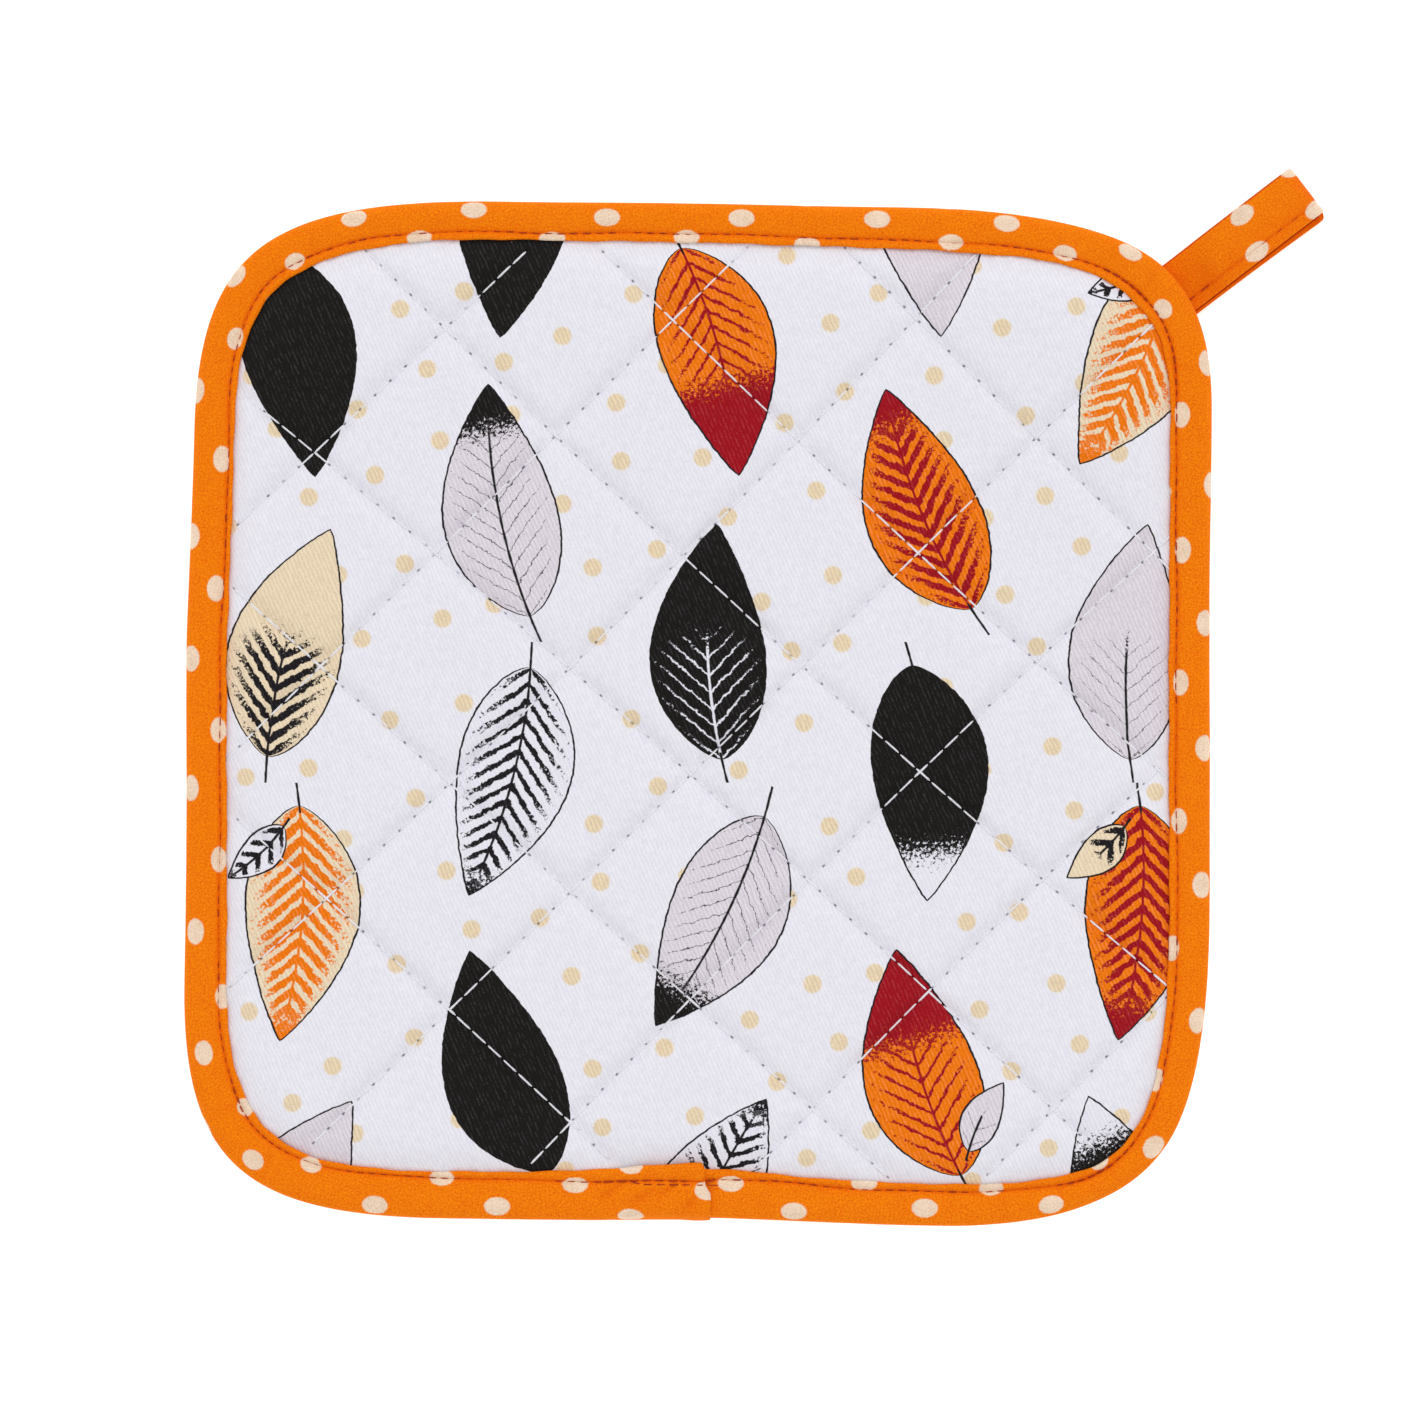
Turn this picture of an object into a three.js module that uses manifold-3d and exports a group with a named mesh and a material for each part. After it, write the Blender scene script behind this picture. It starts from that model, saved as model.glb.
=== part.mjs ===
// Quilted pot mat with a bound edge and a hanging loop, lying flat with its print up.
// Millimetres, +Z up. The origin is under the middle of the mat, on the table.
import * as THREE from "three";
import { mergeVertices } from "three/addons/utils/BufferGeometryUtils.js";
import Module from "manifold-3d";

// The outline, corner by corner and anticlockwise: x and y are where the lines of its
// two sides cross, before and after are how far from there its curve begins on each
// side, bow is how far the side after it stands out, and lap_at and lap_after are the
// width of binding that shows at the corner and along the side after it.
const CORNERS = [
  { name: "back right", x: 100.8, y: 97.9, before: 39, after: 65, bow: 0.2, lap_at: 9.0, lap_after: 7.7 },
  { name: "back left", x: -98.1, y: 100.9, before: 60, after: 47, bow: 0.5, lap_at: 8.7, lap_after: 7.9 },
  { name: "front left", x: -101.5, y: -98.7, before: 47, after: 53, bow: -0.5, lap_at: 9.6, lap_after: 9.3 },
  { name: "front right", x: 99.9, y: -101.4, before: 53, after: 62, bow: -0.2, lap_at: 6.9, lap_after: 7.9 },
];
const CORNER_FULLNESS = 0.78;
const CORNER_STEPS = 16;
const SIDE_STEPS = 9;

// The end of the binding laps over its start on the front side: x is the place along
// that side, wider and thicker are what the lap adds to the width and height there.
const END_LAP = [
  { x: -24, wider: 0, thicker: 0 },
  { x: -12, wider: 0.7, thicker: 0.5 },
  { x: 1.8, wider: 1.4, thicker: 0.8 },
  { x: 2.3, wider: 0, thicker: 0 },
];

// Rows of quilting, from the front of the mat to the back: shift is the distance from
// the middle, and bow is how far the row bulges to the back. The first and the last
// row of each table lie past the mat's edge and are not sewn.
const FALLING_ROWS = [
  { shift: -124, angle: -42.5, bow: 0 },
  { shift: -77.1, angle: -42.5, bow: 1.2 },
  { shift: -42.9, angle: -42, bow: 0 },
  { shift: -11.4, angle: -41.5, bow: 1.2 },
  { shift: 21.5, angle: -42.5, bow: -1.2 },
  { shift: 53.2, angle: -43, bow: -1.2 },
  { shift: 85.3, angle: -44.7, bow: -0.8 },
  { shift: 126, angle: -44.7, bow: 0 },
];
const RISING_ROWS = [
  { shift: -140, angle: 44.7, bow: 0 },
  { shift: -105.5, angle: 44.7, bow: 1.2 },
  { shift: -72.4, angle: 44.7, bow: 1.6 },
  { shift: -40.1, angle: 44.5, bow: 1.2 },
  { shift: -8, angle: 44.3, bow: 0 },
  { shift: 24.7, angle: 44.5, bow: -1.2 },
  { shift: 57.9, angle: 44.5, bow: 0 },
  { shift: 89, angle: 43.5, bow: -0.8 },
  { shift: 128, angle: 43.5, bow: 0 },
];
const BOW_SPAN = 78;

// The quilted cushion between two rows: crown is its rise above the rows as a share of
// the whole rise, groove is the depth below as a share of the underside's groove.
const CUSHION = [
  { across: 0, crown: 0, groove: 1 },
  { across: 0.08, crown: 0.45, groove: 0.35 },
  { across: 0.2, crown: 0.78, groove: 0 },
  { across: 0.4, crown: 1, groove: 0 },
  { across: 0.6, crown: 1, groove: 0 },
  { across: 0.8, crown: 0.78, groove: 0 },
  { across: 0.92, crown: 0.45, groove: 0.35 },
];
const ROW_TOP = 4.3;
const CROWN_TOP = 7.0;
const GROOVE_DEPTH = 0.9;

// The binding is a folded tape round the pressed edge of the quilt. inward is measured
// from the mat's outline, or from the edge of the upper lap in the rows that follow it.
const GAP = 0.3;
const BINDING_TOP = 5.4;
const TAPE_THICKNESS = 1.0;
const LOWER_LAP = 8.8;
const STITCH_FROM_EDGE = 2.4;
const BINDING_SECTION = [
  { inward: LOWER_LAP, height: 0 },
  { inward: 2.4, height: 0 },
  { inward: 0.7, height: 0.8 },
  { inward: 0, height: 2.7 },
  { inward: 0.7, height: 4.6 },
  { inward: 2.4, height: BINDING_TOP },
  { inward: -STITCH_FROM_EDGE, height: BINDING_TOP - 0.3, follows_lap: true },
  { inward: -0.7, height: BINDING_TOP + 0.1, follows_lap: true },
  { inward: 0, height: BINDING_TOP - 0.2, follows_lap: true },
  { inward: 0, height: BINDING_TOP - TAPE_THICKNESS, inner: true, follows_lap: true },
  { inward: 2.7, height: BINDING_TOP - TAPE_THICKNESS, inner: true },
  { inward: 1.5, height: 3.7, inner: true },
  { inward: 1.5, height: 1.7, inner: true },
  { inward: 2.7, height: TAPE_THICKNESS, inner: true },
  { inward: LOWER_LAP, height: TAPE_THICKNESS, inner: true },
];

// The space that the quilt fills: its edge lies inside the binding and swells past it.
const EDGE_TOP = BINDING_TOP - TAPE_THICKNESS - GAP;
const EDGE_BOTTOM = TAPE_THICKNESS + GAP;
const QUILT_EDGE = [
  { inward: 40, height: -2 },
  { inward: 14, height: -2 },
  { inward: LOWER_LAP + GAP, height: EDGE_BOTTOM },
  { inward: 2.9, height: EDGE_BOTTOM },
  { inward: 1.9, height: 2.0 },
  { inward: 1.9, height: 3.4 },
  { inward: 2.9, height: EDGE_TOP },
  { inward: 0.5, height: EDGE_TOP, follows_lap: true },
  { inward: 2.6, height: 5.7, follows_lap: true },
  { inward: 7, height: 7.6, follows_lap: true },
  { inward: 40, height: 9 },
];

// The hanging loop: a strip of the same tape folded in two. root is the point of the
// outline that it leaves, and heading is its direction, measured from +X.
const LOOP = {
  root: new THREE.Vector2(94.4, 82.4),
  heading: 37.5,
  width: 10.9,
  reach: 31.4,
  tucked: 7,
  thickness: 1.0,
  mouth: 4.8,
  mouth_start: 12.5,
};
// The two layers of the loop lie under this corner and lift it off the table.
const LIFT = { height: 2 * (LOOP.thickness + GAP), level: 9, fades_over: 52 };

const WHITE_COTTON = { color: 0xe8e8f0, roughness: 0.9, metalness: 0 };
const ORANGE_COTTON = { color: 0xfa8200, roughness: 0.85, metalness: 0 };

// Point of a side between two corners, t from 0 to 1, where t = 0 ends the first curve.
function sidePoint(corner, next, t) {
  const along = new THREE.Vector2(next.x - corner.x, next.y - corner.y);
  const length = along.length();
  along.divideScalar(length);
  const distance = corner.after + (length - corner.after - next.before) * t;
  const bow = corner.bow * Math.sin(Math.PI * t) ** 2;
  return new THREE.Vector2(
    corner.x + along.x * distance + along.y * bow,
    corner.y + along.y * distance - along.x * bow,
  );
}

function cornerCurve(previous, corner, next) {
  const start = sidePoint(previous, corner, 1);
  const end = sidePoint(corner, next, 0);
  const tip = new THREE.Vector2(corner.x, corner.y);
  const startHandle = start.clone().lerp(tip, CORNER_FULLNESS);
  const endHandle = end.clone().lerp(tip, CORNER_FULLNESS);
  return new THREE.CubicBezierCurve(start, startHandle, endHandle, end);
}

function endLapAt(point) {
  const onFrontSide = point.y < 0;
  const after = END_LAP.findIndex((row) => point.x < row.x);
  if (!onFrontSide || after < 1) {
    return { wider: 0, thicker: 0 };
  }
  const low = END_LAP[after - 1];
  const high = END_LAP[after];
  const share = (point.x - low.x) / (high.x - low.x);
  return {
    wider: THREE.MathUtils.lerp(low.wider, high.wider, share),
    thicker: THREE.MathUtils.lerp(low.thicker, high.thicker, share),
  };
}

function blend(from, to, share) {
  return from + (to - from) * (0.5 - 0.5 * Math.cos(Math.PI * share));
}

// Stations round the outline, each with its point, the direction to the mat's middle
// and the width of the binding's upper lap.
function outlineStations() {
  const stations = [];
  CORNERS.forEach((corner, index) => {
    const previous = CORNERS[(index + 3) % 4];
    const next = CORNERS[(index + 1) % 4];
    const curve = cornerCurve(previous, corner, next);
    for (let step = 0; step < CORNER_STEPS; step++) {
      const share = (2 * step) / CORNER_STEPS;
      const lap = share < 1
        ? blend(previous.lap_after, corner.lap_at, share)
        : blend(corner.lap_at, corner.lap_after, share - 1);
      stations.push({ point: curve.getPoint(step / CORNER_STEPS), lap });
    }
    const side = [];
    for (let step = 0; step < SIDE_STEPS; step++) {
      side.push(sidePoint(corner, next, step / SIDE_STEPS));
    }
    if (corner.name === "front left") {
      const span = side.at(-1).x - side[0].x;
      END_LAP.forEach((row) => side.push(sidePoint(corner, next,
        ((row.x - side[0].x) / span) * ((SIDE_STEPS - 1) / SIDE_STEPS))));
      side.sort((a, b) => a.x - b.x);
    }
    side.forEach((point) => stations.push({ point, lap: corner.lap_after }));
  });
  stations.forEach((station, index) => {
    const before = stations.at(index - 1).point;
    const after = stations[(index + 1) % stations.length].point;
    const along = after.clone().sub(before).normalize();
    station.inward = new THREE.Vector2(-along.y, along.x);
    station.end_lap = endLapAt(station.point);
  });
  return stations;
}

// How far the loop's layers lift the mat at a place.
function liftAt(x, y) {
  const heading = THREE.MathUtils.degToRad(LOOP.heading);
  const centreX = LOOP.root.x - 0.5 * LOOP.tucked * Math.cos(heading);
  const centreY = LOOP.root.y - 0.5 * LOOP.tucked * Math.sin(heading);
  const distance = Math.hypot(x - centreX, y - centreY);
  return LIFT.height * (1 - THREE.MathUtils.smoothstep(distance, LIFT.level, LIFT.level + LIFT.fades_over));
}

function sectionPoint(station, row) {
  const lap = row.follows_lap ? station.lap + station.end_lap.wider : 0;
  const inward = lap + row.inward;
  const thicker = row.height > BINDING_TOP / 2 && !row.inner ? station.end_lap.thicker : 0;
  return new THREE.Vector3(
    station.point.x + station.inward.x * inward,
    station.point.y + station.inward.y * inward,
    row.height + thicker,
  );
}

function moveVertices(geometry, place) {
  const position = geometry.getAttribute("position");
  for (let index = 0; index < position.count; index++) {
    const point = place(index, new THREE.Vector3().fromBufferAttribute(position, index));
    position.setXYZ(index, point.x, point.y, point.z);
  }
  return geometry;
}

function liftVertices(geometry) {
  return moveVertices(geometry, (index, point) => point.setZ(point.z + liftAt(point.x, point.y)));
}

function solidFrom(wasm, geometry) {
  geometry.deleteAttribute("normal");
  geometry.deleteAttribute("uv");
  const merged = mergeVertices(geometry, 1e-5);
  const corners = merged.getIndex().array;
  const kept = [];
  for (let index = 0; index < corners.length; index += 3) {
    const [a, b, c] = corners.slice(index, index + 3);
    if (a !== b && b !== c && c !== a) {
      kept.push(a, b, c);
    }
  }
  return new wasm.Manifold(new wasm.Mesh({
    numProp: 3,
    vertProperties: new Float32Array(merged.getAttribute("position").array),
    triVerts: new Uint32Array(kept),
  }));
}

function geometryFrom(solid) {
  const mesh = solid.getMesh();
  const geometry = new THREE.BufferGeometry();
  const points = new Float32Array(mesh.vertProperties);
  geometry.setAttribute("position", new THREE.BufferAttribute(points, 3));
  geometry.setIndex([...mesh.triVerts]);
  return geometry;
}

// A row between two rows of a quilting table, where whole numbers are the sewn rows.
function rowAt(rows, number) {
  const low = Math.min(Math.floor(number), rows.length - 2);
  const share = number - low;
  const mix = (column) => THREE.MathUtils.lerp(rows[low][column], rows[low + 1][column], share);
  const angle = THREE.MathUtils.degToRad(mix("angle"));
  return {
    shift: mix("shift"),
    bow: mix("bow"),
    along: new THREE.Vector2(Math.cos(angle), Math.sin(angle)),
    across: new THREE.Vector2(-Math.sin(angle), Math.cos(angle)),
  };
}

// Where a falling and a rising row cross: two lines are crossed again after each
// row's bow has been worked out at the last crossing.
function crossing(fallingNumber, risingNumber) {
  const falling = rowAt(FALLING_ROWS, fallingNumber);
  const rising = rowAt(RISING_ROWS, risingNumber);
  const point = new THREE.Vector2();
  for (let round = 0; round < 6; round++) {
    const [first, second] = [falling, rising].map((row) => {
      const run = row.along.dot(point) / BOW_SPAN;
      return row.shift + row.bow * Math.max(1 - run * run, -1);
    });
    const area = falling.across.cross(rising.across);
    point.set(
      (first * rising.across.y - second * falling.across.y) / area,
      (second * falling.across.x - first * rising.across.x) / area,
    );
  }
  return point;
}

function quiltStep(index) {
  const row = CUSHION[index % CUSHION.length];
  return { number: Math.floor(index / CUSHION.length) + row.across, crown: row.crown, groove: row.groove };
}

// The quilt: a filled sheet with a cushion in each diamond of its rows, trimmed to the
// space inside the binding.
function makeQuilt(wasm, stations) {
  const fallingSteps = (FALLING_ROWS.length - 1) * CUSHION.length;
  const risingSteps = (RISING_ROWS.length - 1) * CUSHION.length;
  const sheet = new THREE.BoxGeometry(fallingSteps, risingSteps, 1, fallingSteps, risingSteps, 1);
  moveVertices(sheet, (index, point) => {
    const falling = quiltStep(Math.round(point.x + fallingSteps / 2));
    const rising = quiltStep(Math.round(point.y + risingSteps / 2));
    const place = crossing(falling.number, rising.number);
    const height = point.z > 0
      ? ROW_TOP + (CROWN_TOP - ROW_TOP) * falling.crown * rising.crown
      : GROOVE_DEPTH * (1 - (1 - falling.groove) * (1 - rising.groove));
    return new THREE.Vector3(place.x, place.y, height);
  });

  const profile = [
    new THREE.Vector2(0, 0),
    ...QUILT_EDGE.map((row, index) => new THREE.Vector2(1, index)),
    new THREE.Vector2(0, QUILT_EDGE.length),
  ];
  const space = new THREE.LatheGeometry(profile, stations.length);
  moveVertices(space, (index) => {
    const station = stations[Math.floor(index / profile.length) % stations.length];
    const row = (index % profile.length) - 1;
    if (row < 0) {
      return new THREE.Vector3(0, 0, QUILT_EDGE[0].height);
    }
    if (row === QUILT_EDGE.length) {
      return new THREE.Vector3(0, 0, QUILT_EDGE.at(-1).height);
    }
    return sectionPoint(station, { ...QUILT_EDGE[row], inner: true });
  });

  const quilt = solidFrom(wasm, sheet).intersect(solidFrom(wasm, space));
  return liftVertices(geometryFrom(quilt));
}

// The binding: its section carried round the outline as a closed ring.
function makeBinding(stations) {
  const ring = new THREE.TorusGeometry(2, 1, BINDING_SECTION.length, stations.length);
  moveVertices(ring, (index) => {
    const station = stations[(index % (stations.length + 1)) % stations.length];
    const row = Math.floor(index / (stations.length + 1)) % BINDING_SECTION.length;
    return sectionPoint(station, BINDING_SECTION[row]);
  });
  return liftVertices(ring);
}

// The loop's middle line, seen from the side: along the table to the fold, round it,
// over the mouth that the hook goes through, and back on top of the lower layer.
function makeLoop() {
  const lower = LOOP.thickness / 2;
  const upper = lower + LOOP.thickness + GAP;
  const foldRadius = (LOOP.mouth + LOOP.thickness) / 2;
  const foldCentre = LOOP.reach - foldRadius - LOOP.thickness / 2;
  const crest = lower + 2 * foldRadius;
  const line = new THREE.Path();
  line.moveTo(-LOOP.tucked, lower);
  line.lineTo(foldCentre, lower);
  line.absarc(foldCentre, lower + foldRadius, foldRadius, -Math.PI / 2, Math.PI / 2, false);
  line.bezierCurveTo(foldCentre - 5, crest + 0.3, LOOP.mouth_start + 5, crest + 0.3, LOOP.mouth_start, crest);
  line.bezierCurveTo(LOOP.mouth_start - 4, crest - 0.3, 5, upper, 0.5, upper);
  line.lineTo(-LOOP.tucked, upper);

  const middle = line.getPoints(8);
  const sides = [1, -1].map((side) => middle.map((point, index) => {
    const before = middle[Math.max(index - 1, 0)];
    const after = middle[Math.min(index + 1, middle.length - 1)];
    const along = after.clone().sub(before).normalize();
    const out = (side * LOOP.thickness) / 2;
    return new THREE.Vector2(point.x - along.y * out, point.y + along.x * out);
  }));
  const section = new THREE.Shape([...sides[0], ...sides[1].reverse()]);
  const strip = new THREE.ExtrudeGeometry(section, { depth: LOOP.width, steps: 2, bevelEnabled: false });
  strip.translate(0, 0, -LOOP.width / 2);
  strip.rotateX(Math.PI / 2);
  return strip;
}

function makeMesh(name, geometry, finish) {
  const flat = geometry.index ? geometry.toNonIndexed() : geometry;
  flat.computeVertexNormals();
  const mesh = new THREE.Mesh(flat, new THREE.MeshStandardMaterial(finish));
  mesh.name = name;
  return mesh;
}

const wasm = await Module();
wasm.setup();

const stations = outlineStations();
const potMat = new THREE.Group();
potMat.add(makeMesh("quilt", makeQuilt(wasm, stations), WHITE_COTTON));
potMat.add(makeMesh("binding", makeBinding(stations), ORANGE_COTTON));

const loop = makeMesh("hanging_loop", makeLoop(), ORANGE_COTTON);
loop.position.set(LOOP.root.x, LOOP.root.y, 0);
loop.rotation.z = THREE.MathUtils.degToRad(LOOP.heading);
potMat.add(loop);

export default potMat;
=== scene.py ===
import math

import bmesh
import bpy
import numpy as np
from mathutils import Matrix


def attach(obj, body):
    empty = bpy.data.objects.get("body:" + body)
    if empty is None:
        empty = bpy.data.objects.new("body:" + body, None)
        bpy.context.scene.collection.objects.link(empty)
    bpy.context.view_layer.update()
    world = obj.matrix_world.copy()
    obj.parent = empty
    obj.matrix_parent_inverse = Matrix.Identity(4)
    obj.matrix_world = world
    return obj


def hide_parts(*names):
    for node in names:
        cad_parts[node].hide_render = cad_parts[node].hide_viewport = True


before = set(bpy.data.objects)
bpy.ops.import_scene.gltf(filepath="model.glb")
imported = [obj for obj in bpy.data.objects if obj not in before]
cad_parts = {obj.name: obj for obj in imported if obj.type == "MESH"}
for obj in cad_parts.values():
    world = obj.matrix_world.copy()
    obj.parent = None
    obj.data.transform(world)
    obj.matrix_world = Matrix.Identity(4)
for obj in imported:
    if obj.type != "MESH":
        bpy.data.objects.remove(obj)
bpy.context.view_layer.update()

# The quilt.
# Two cotton twill cloths with wadding between them, the face printed and the back
# plain, sewn through in diamonds and pressed flat along the edge for the binding.
# Tables and sizes are in millimetres, and MM turns them into metres.
MM = 0.001
CORNERS = (
    {"name": "back right", "x": 100.8, "y": 97.9, "before": 39, "after": 65, "bow": 0.2},
    {"name": "back left", "x": -98.1, "y": 100.9, "before": 60, "after": 47, "bow": 0.5},
    {"name": "front left", "x": -101.5, "y": -98.7, "before": 47, "after": 53, "bow": -0.5},
    {"name": "front right", "x": 99.9, "y": -101.4, "before": 53, "after": 62, "bow": -0.2},
)
BINDING_WIDTHS = (
    {"name": "back right", "lap_at": 9.0, "lap_after": 7.7, "sewn_at": 7.0, "sewn_after": 6.35},
    {"name": "back left", "lap_at": 8.7, "lap_after": 7.9, "sewn_at": 6.75, "sewn_after": 6.8},
    {"name": "front left", "lap_at": 9.6, "lap_after": 9.3, "sewn_at": 7.7, "sewn_after": 7.8},
    {"name": "front right", "lap_at": 6.9, "lap_after": 7.9, "sewn_at": 5.7, "sewn_after": 6.4},
)
CORNER_FULLNESS = 0.78
END_LAP = (
    {"x": -24.0, "wider": 0.0},
    {"x": -12.0, "wider": 0.7},
    {"x": 1.8, "wider": 1.1},
    {"x": 2.3, "wider": 0.0},
)
TAPE_START_X = -12.0
STATION_STEP = 0.84
# The sewn edge is uneven. Each row says, at a run from the tape's start, how much further
# out the tape's fold lies there, and how much wider its lap and its seam are.
BINDING_UNEVEN = (
    {"run": 0, "fold": 0.0, "lap": 0.4, "seam": 0.0},
    {"run": 16, "fold": -0.1, "lap": 0.8, "seam": 0.1},
    {"run": 30, "fold": 0.1, "lap": -0.4, "seam": -0.1},
    {"run": 45, "fold": 0.3, "lap": -1.0, "seam": -1.0},
    {"run": 65, "fold": 0.4, "lap": -1.3, "seam": -1.3},
    {"run": 90, "fold": 0.0, "lap": -0.7, "seam": -1.1},
    {"run": 110, "fold": 0.6, "lap": -0.3, "seam": -0.2},
    {"run": 130, "fold": 0.3, "lap": -0.1, "seam": -0.2},
    {"run": 190, "fold": 0.4, "lap": 0.0, "seam": 0.1},
    {"run": 220, "fold": 0.2, "lap": 0.0, "seam": 0.2},
    {"run": 250, "fold": 0.1, "lap": 0.4, "seam": 0.7},
    {"run": 280, "fold": -0.2, "lap": 0.6, "seam": 0.5},
    {"run": 300, "fold": -0.3, "lap": -0.3, "seam": -0.2},
    {"run": 325, "fold": 0.1, "lap": 0.8, "seam": 0.5},
    {"run": 355, "fold": 0.0, "lap": 0.4, "seam": 0.0},
    {"run": 400, "fold": 0.0, "lap": 0.1, "seam": -0.1},
    {"run": 465, "fold": 0.0, "lap": -0.1, "seam": -0.2},
    {"run": 505, "fold": -0.1, "lap": 0.3, "seam": 0.4},
    {"run": 545, "fold": 0.3, "lap": 0.0, "seam": 0.0},
    {"run": 575, "fold": -0.2, "lap": 0.4, "seam": 0.1},
    {"run": 625, "fold": 0.1, "lap": 0.6, "seam": 0.2},
    {"run": 665, "fold": 0.3, "lap": -0.5, "seam": 0.2},
    {"run": 700, "fold": 0.2, "lap": 0.0, "seam": 0.1},
    {"run": 725, "fold": 0.5, "lap": 0.2, "seam": -0.3},
)


def run_along(line):
    """How far along a line each of its points lies."""
    return np.concatenate([[0], np.cumsum(np.linalg.norm(np.diff(line, axis=0), axis=1))])


def side_point(corner, following, share):
    """Points of the side between two corners; at share 0 the first corner's curve ends."""
    start = np.array([corner["x"], corner["y"]])
    side = np.array([following["x"], following["y"]]) - start
    length = np.linalg.norm(side)
    along = side / length
    out = np.array([along[1], -along[0]])
    distance = corner["after"] + (length - corner["after"] - following["before"]) * share
    bow = corner["bow"] * np.sin(np.pi * share) ** 2
    return start + np.outer(distance, along) + np.outer(bow, out)


def corner_points(previous, corner, following, share):
    start = side_point(previous, corner, np.array([1.0]))
    end = side_point(corner, following, np.array([0.0]))
    tip = np.array([[corner["x"], corner["y"]]])
    first = start + (tip - start) * CORNER_FULLNESS
    second = end + (tip - end) * CORNER_FULLNESS
    t = share[:, None]
    return (1 - t) ** 3 * start + 3 * (1 - t) ** 2 * t * first + 3 * (1 - t) * t * t * second + t**3 * end


def ease(start, end, share):
    return start + (end - start) * (0.5 - 0.5 * np.cos(np.pi * np.clip(share, 0, 1)))


def end_lap_wider(points):
    """What the binding's lapped end adds to its width on the front side."""
    wider = np.interp(points[:, 0], [row["x"] for row in END_LAP], [row["wider"] for row in END_LAP])
    return np.where(points[:, 1] < 0, wider, 0.0)


def unevenness(runs, length):
    """What the uneven edge adds at runs round the mat: to the fold, the lap and the seam."""
    places = [row["run"] for row in BINDING_UNEVEN]
    weights = np.hanning(11) / np.hanning(11).sum()
    added = []
    for column in ("fold", "lap", "seam"):
        found = np.interp(runs, places, [row[column] for row in BINDING_UNEVEN], period=length)
        added.append(np.convolve(np.concatenate([found[-5:], found, found[:5]]), weights, "valid"))
    return added


def outline_stations():
    """Even stations round the mat from the tape's start, anticlockwise."""
    points, widths = [], {"lap": [], "sewn": []}
    share = np.linspace(0, 1, 200, endpoint=False)
    for index, corner in enumerate(CORNERS):
        previous, following = CORNERS[index - 1], CORNERS[(index + 1) % 4]
        points.append(corner_points(previous, corner, following, share))
        points.append(side_point(corner, following, share))
        before, here = BINDING_WIDTHS[index - 1], BINDING_WIDTHS[index]
        for width, found in widths.items():
            into = ease(before[width + "_after"], here[width + "_at"], 2 * share)
            out_of = ease(here[width + "_at"], here[width + "_after"], 2 * share - 1)
            found.append(np.where(share < 0.5, into, out_of))
            found.append(np.full(len(share), here[width + "_after"]))
    points = np.concatenate(points)
    front = np.where(points[:, 1] < -50, np.abs(points[:, 0] - TAPE_START_X), np.inf)
    start = np.argmin(front)
    points = np.roll(points, -start, axis=0)
    closed = np.vstack([points, points[:1]])
    run = run_along(closed)
    count = round(run[-1] / STATION_STEP)
    wanted = np.arange(count) * run[-1] / count
    even = np.stack([np.interp(wanted, run, closed[:, axis]) for axis in (0, 1)], axis=1)
    along = np.roll(even, -1, axis=0) - np.roll(even, 1, axis=0)
    along /= np.linalg.norm(along, axis=1)[:, None]
    lap, sewn = (
        np.interp(wanted, run, np.roll(np.concatenate(found), -start)[np.arange(len(run)) % len(points)])
        for found in widths.values()
    )
    turn = 2 * np.pi * wanted / run[-1]
    fold_out, lap_wider, sewn_wider = unevenness(wanted, run[-1])
    lap, sewn = lap + lap_wider, sewn + sewn_wider
    return {
        "point": even,
        "inward": np.stack([-along[:, 1], along[:, 0]], axis=1),
        "lap": lap + end_lap_wider(even) + 0.08 * np.sin(37 * turn) + 0.07 * np.sin(83 * turn + 1),
        "sewn": sewn - 0.35 * end_lap_wider(even) + 0.12 * np.sin(13 * turn) + 0.1 * np.sin(29 * turn + 1),
        "fold_out": fold_out,
        "run": wanted,
        "length": run[-1],
    }


EDGE = outline_stations()


def nearest_of(others, points):
    """For each point, the number of the nearest of some others, a few points at a time."""
    few = 4000
    nearest = np.empty(len(points), dtype=int)
    for start in range(0, len(points), few):
        away = points[start:start + few, None] - others[None]
        nearest[start:start + few] = np.argmin((away**2).sum(axis=2), axis=1)
    return nearest


def inward_from_edge(points):
    """Distance of points inward from the mat's outline, and the nearest station of each."""
    nearest = nearest_of(EDGE["point"], points)
    away = points - EDGE["point"][nearest]
    return (away * EDGE["inward"][nearest]).sum(axis=1), nearest


FALLING_ROWS = (
    {"shift": -124, "angle": -42.5, "bow": 0},
    {"shift": -77.1, "angle": -42.5, "bow": 1.2},
    {"shift": -42.9, "angle": -42, "bow": 0},
    {"shift": -11.4, "angle": -41.5, "bow": 1.2},
    {"shift": 21.5, "angle": -42.5, "bow": -1.2},
    {"shift": 53.2, "angle": -43, "bow": -1.2},
    {"shift": 85.3, "angle": -44.7, "bow": -0.8},
    {"shift": 126, "angle": -44.7, "bow": 0},
)
RISING_ROWS = (
    {"shift": -140, "angle": 44.7, "bow": 0},
    {"shift": -105.5, "angle": 44.7, "bow": 1.2},
    {"shift": -72.4, "angle": 44.7, "bow": 1.6},
    {"shift": -40.1, "angle": 44.5, "bow": 1.2},
    {"shift": -8, "angle": 44.3, "bow": 0},
    {"shift": 24.7, "angle": 44.5, "bow": -1.2},
    {"shift": 57.9, "angle": 44.5, "bow": 0},
    {"shift": 89, "angle": 43.5, "bow": -0.8},
    {"shift": 128, "angle": 43.5, "bow": 0},
)
BOW_SPAN = 78
FALLING_ANGLE = math.radians(-42.6)
RISING_ANGLE = math.radians(44.5)
ROW_SPACING = 32.5
STITCH_PITCH = 4.1
PHASE_STEP = 0.37


def row_column(rows, column, number):
    return np.interp(number, range(len(rows)), [row[column] for row in rows])


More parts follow.
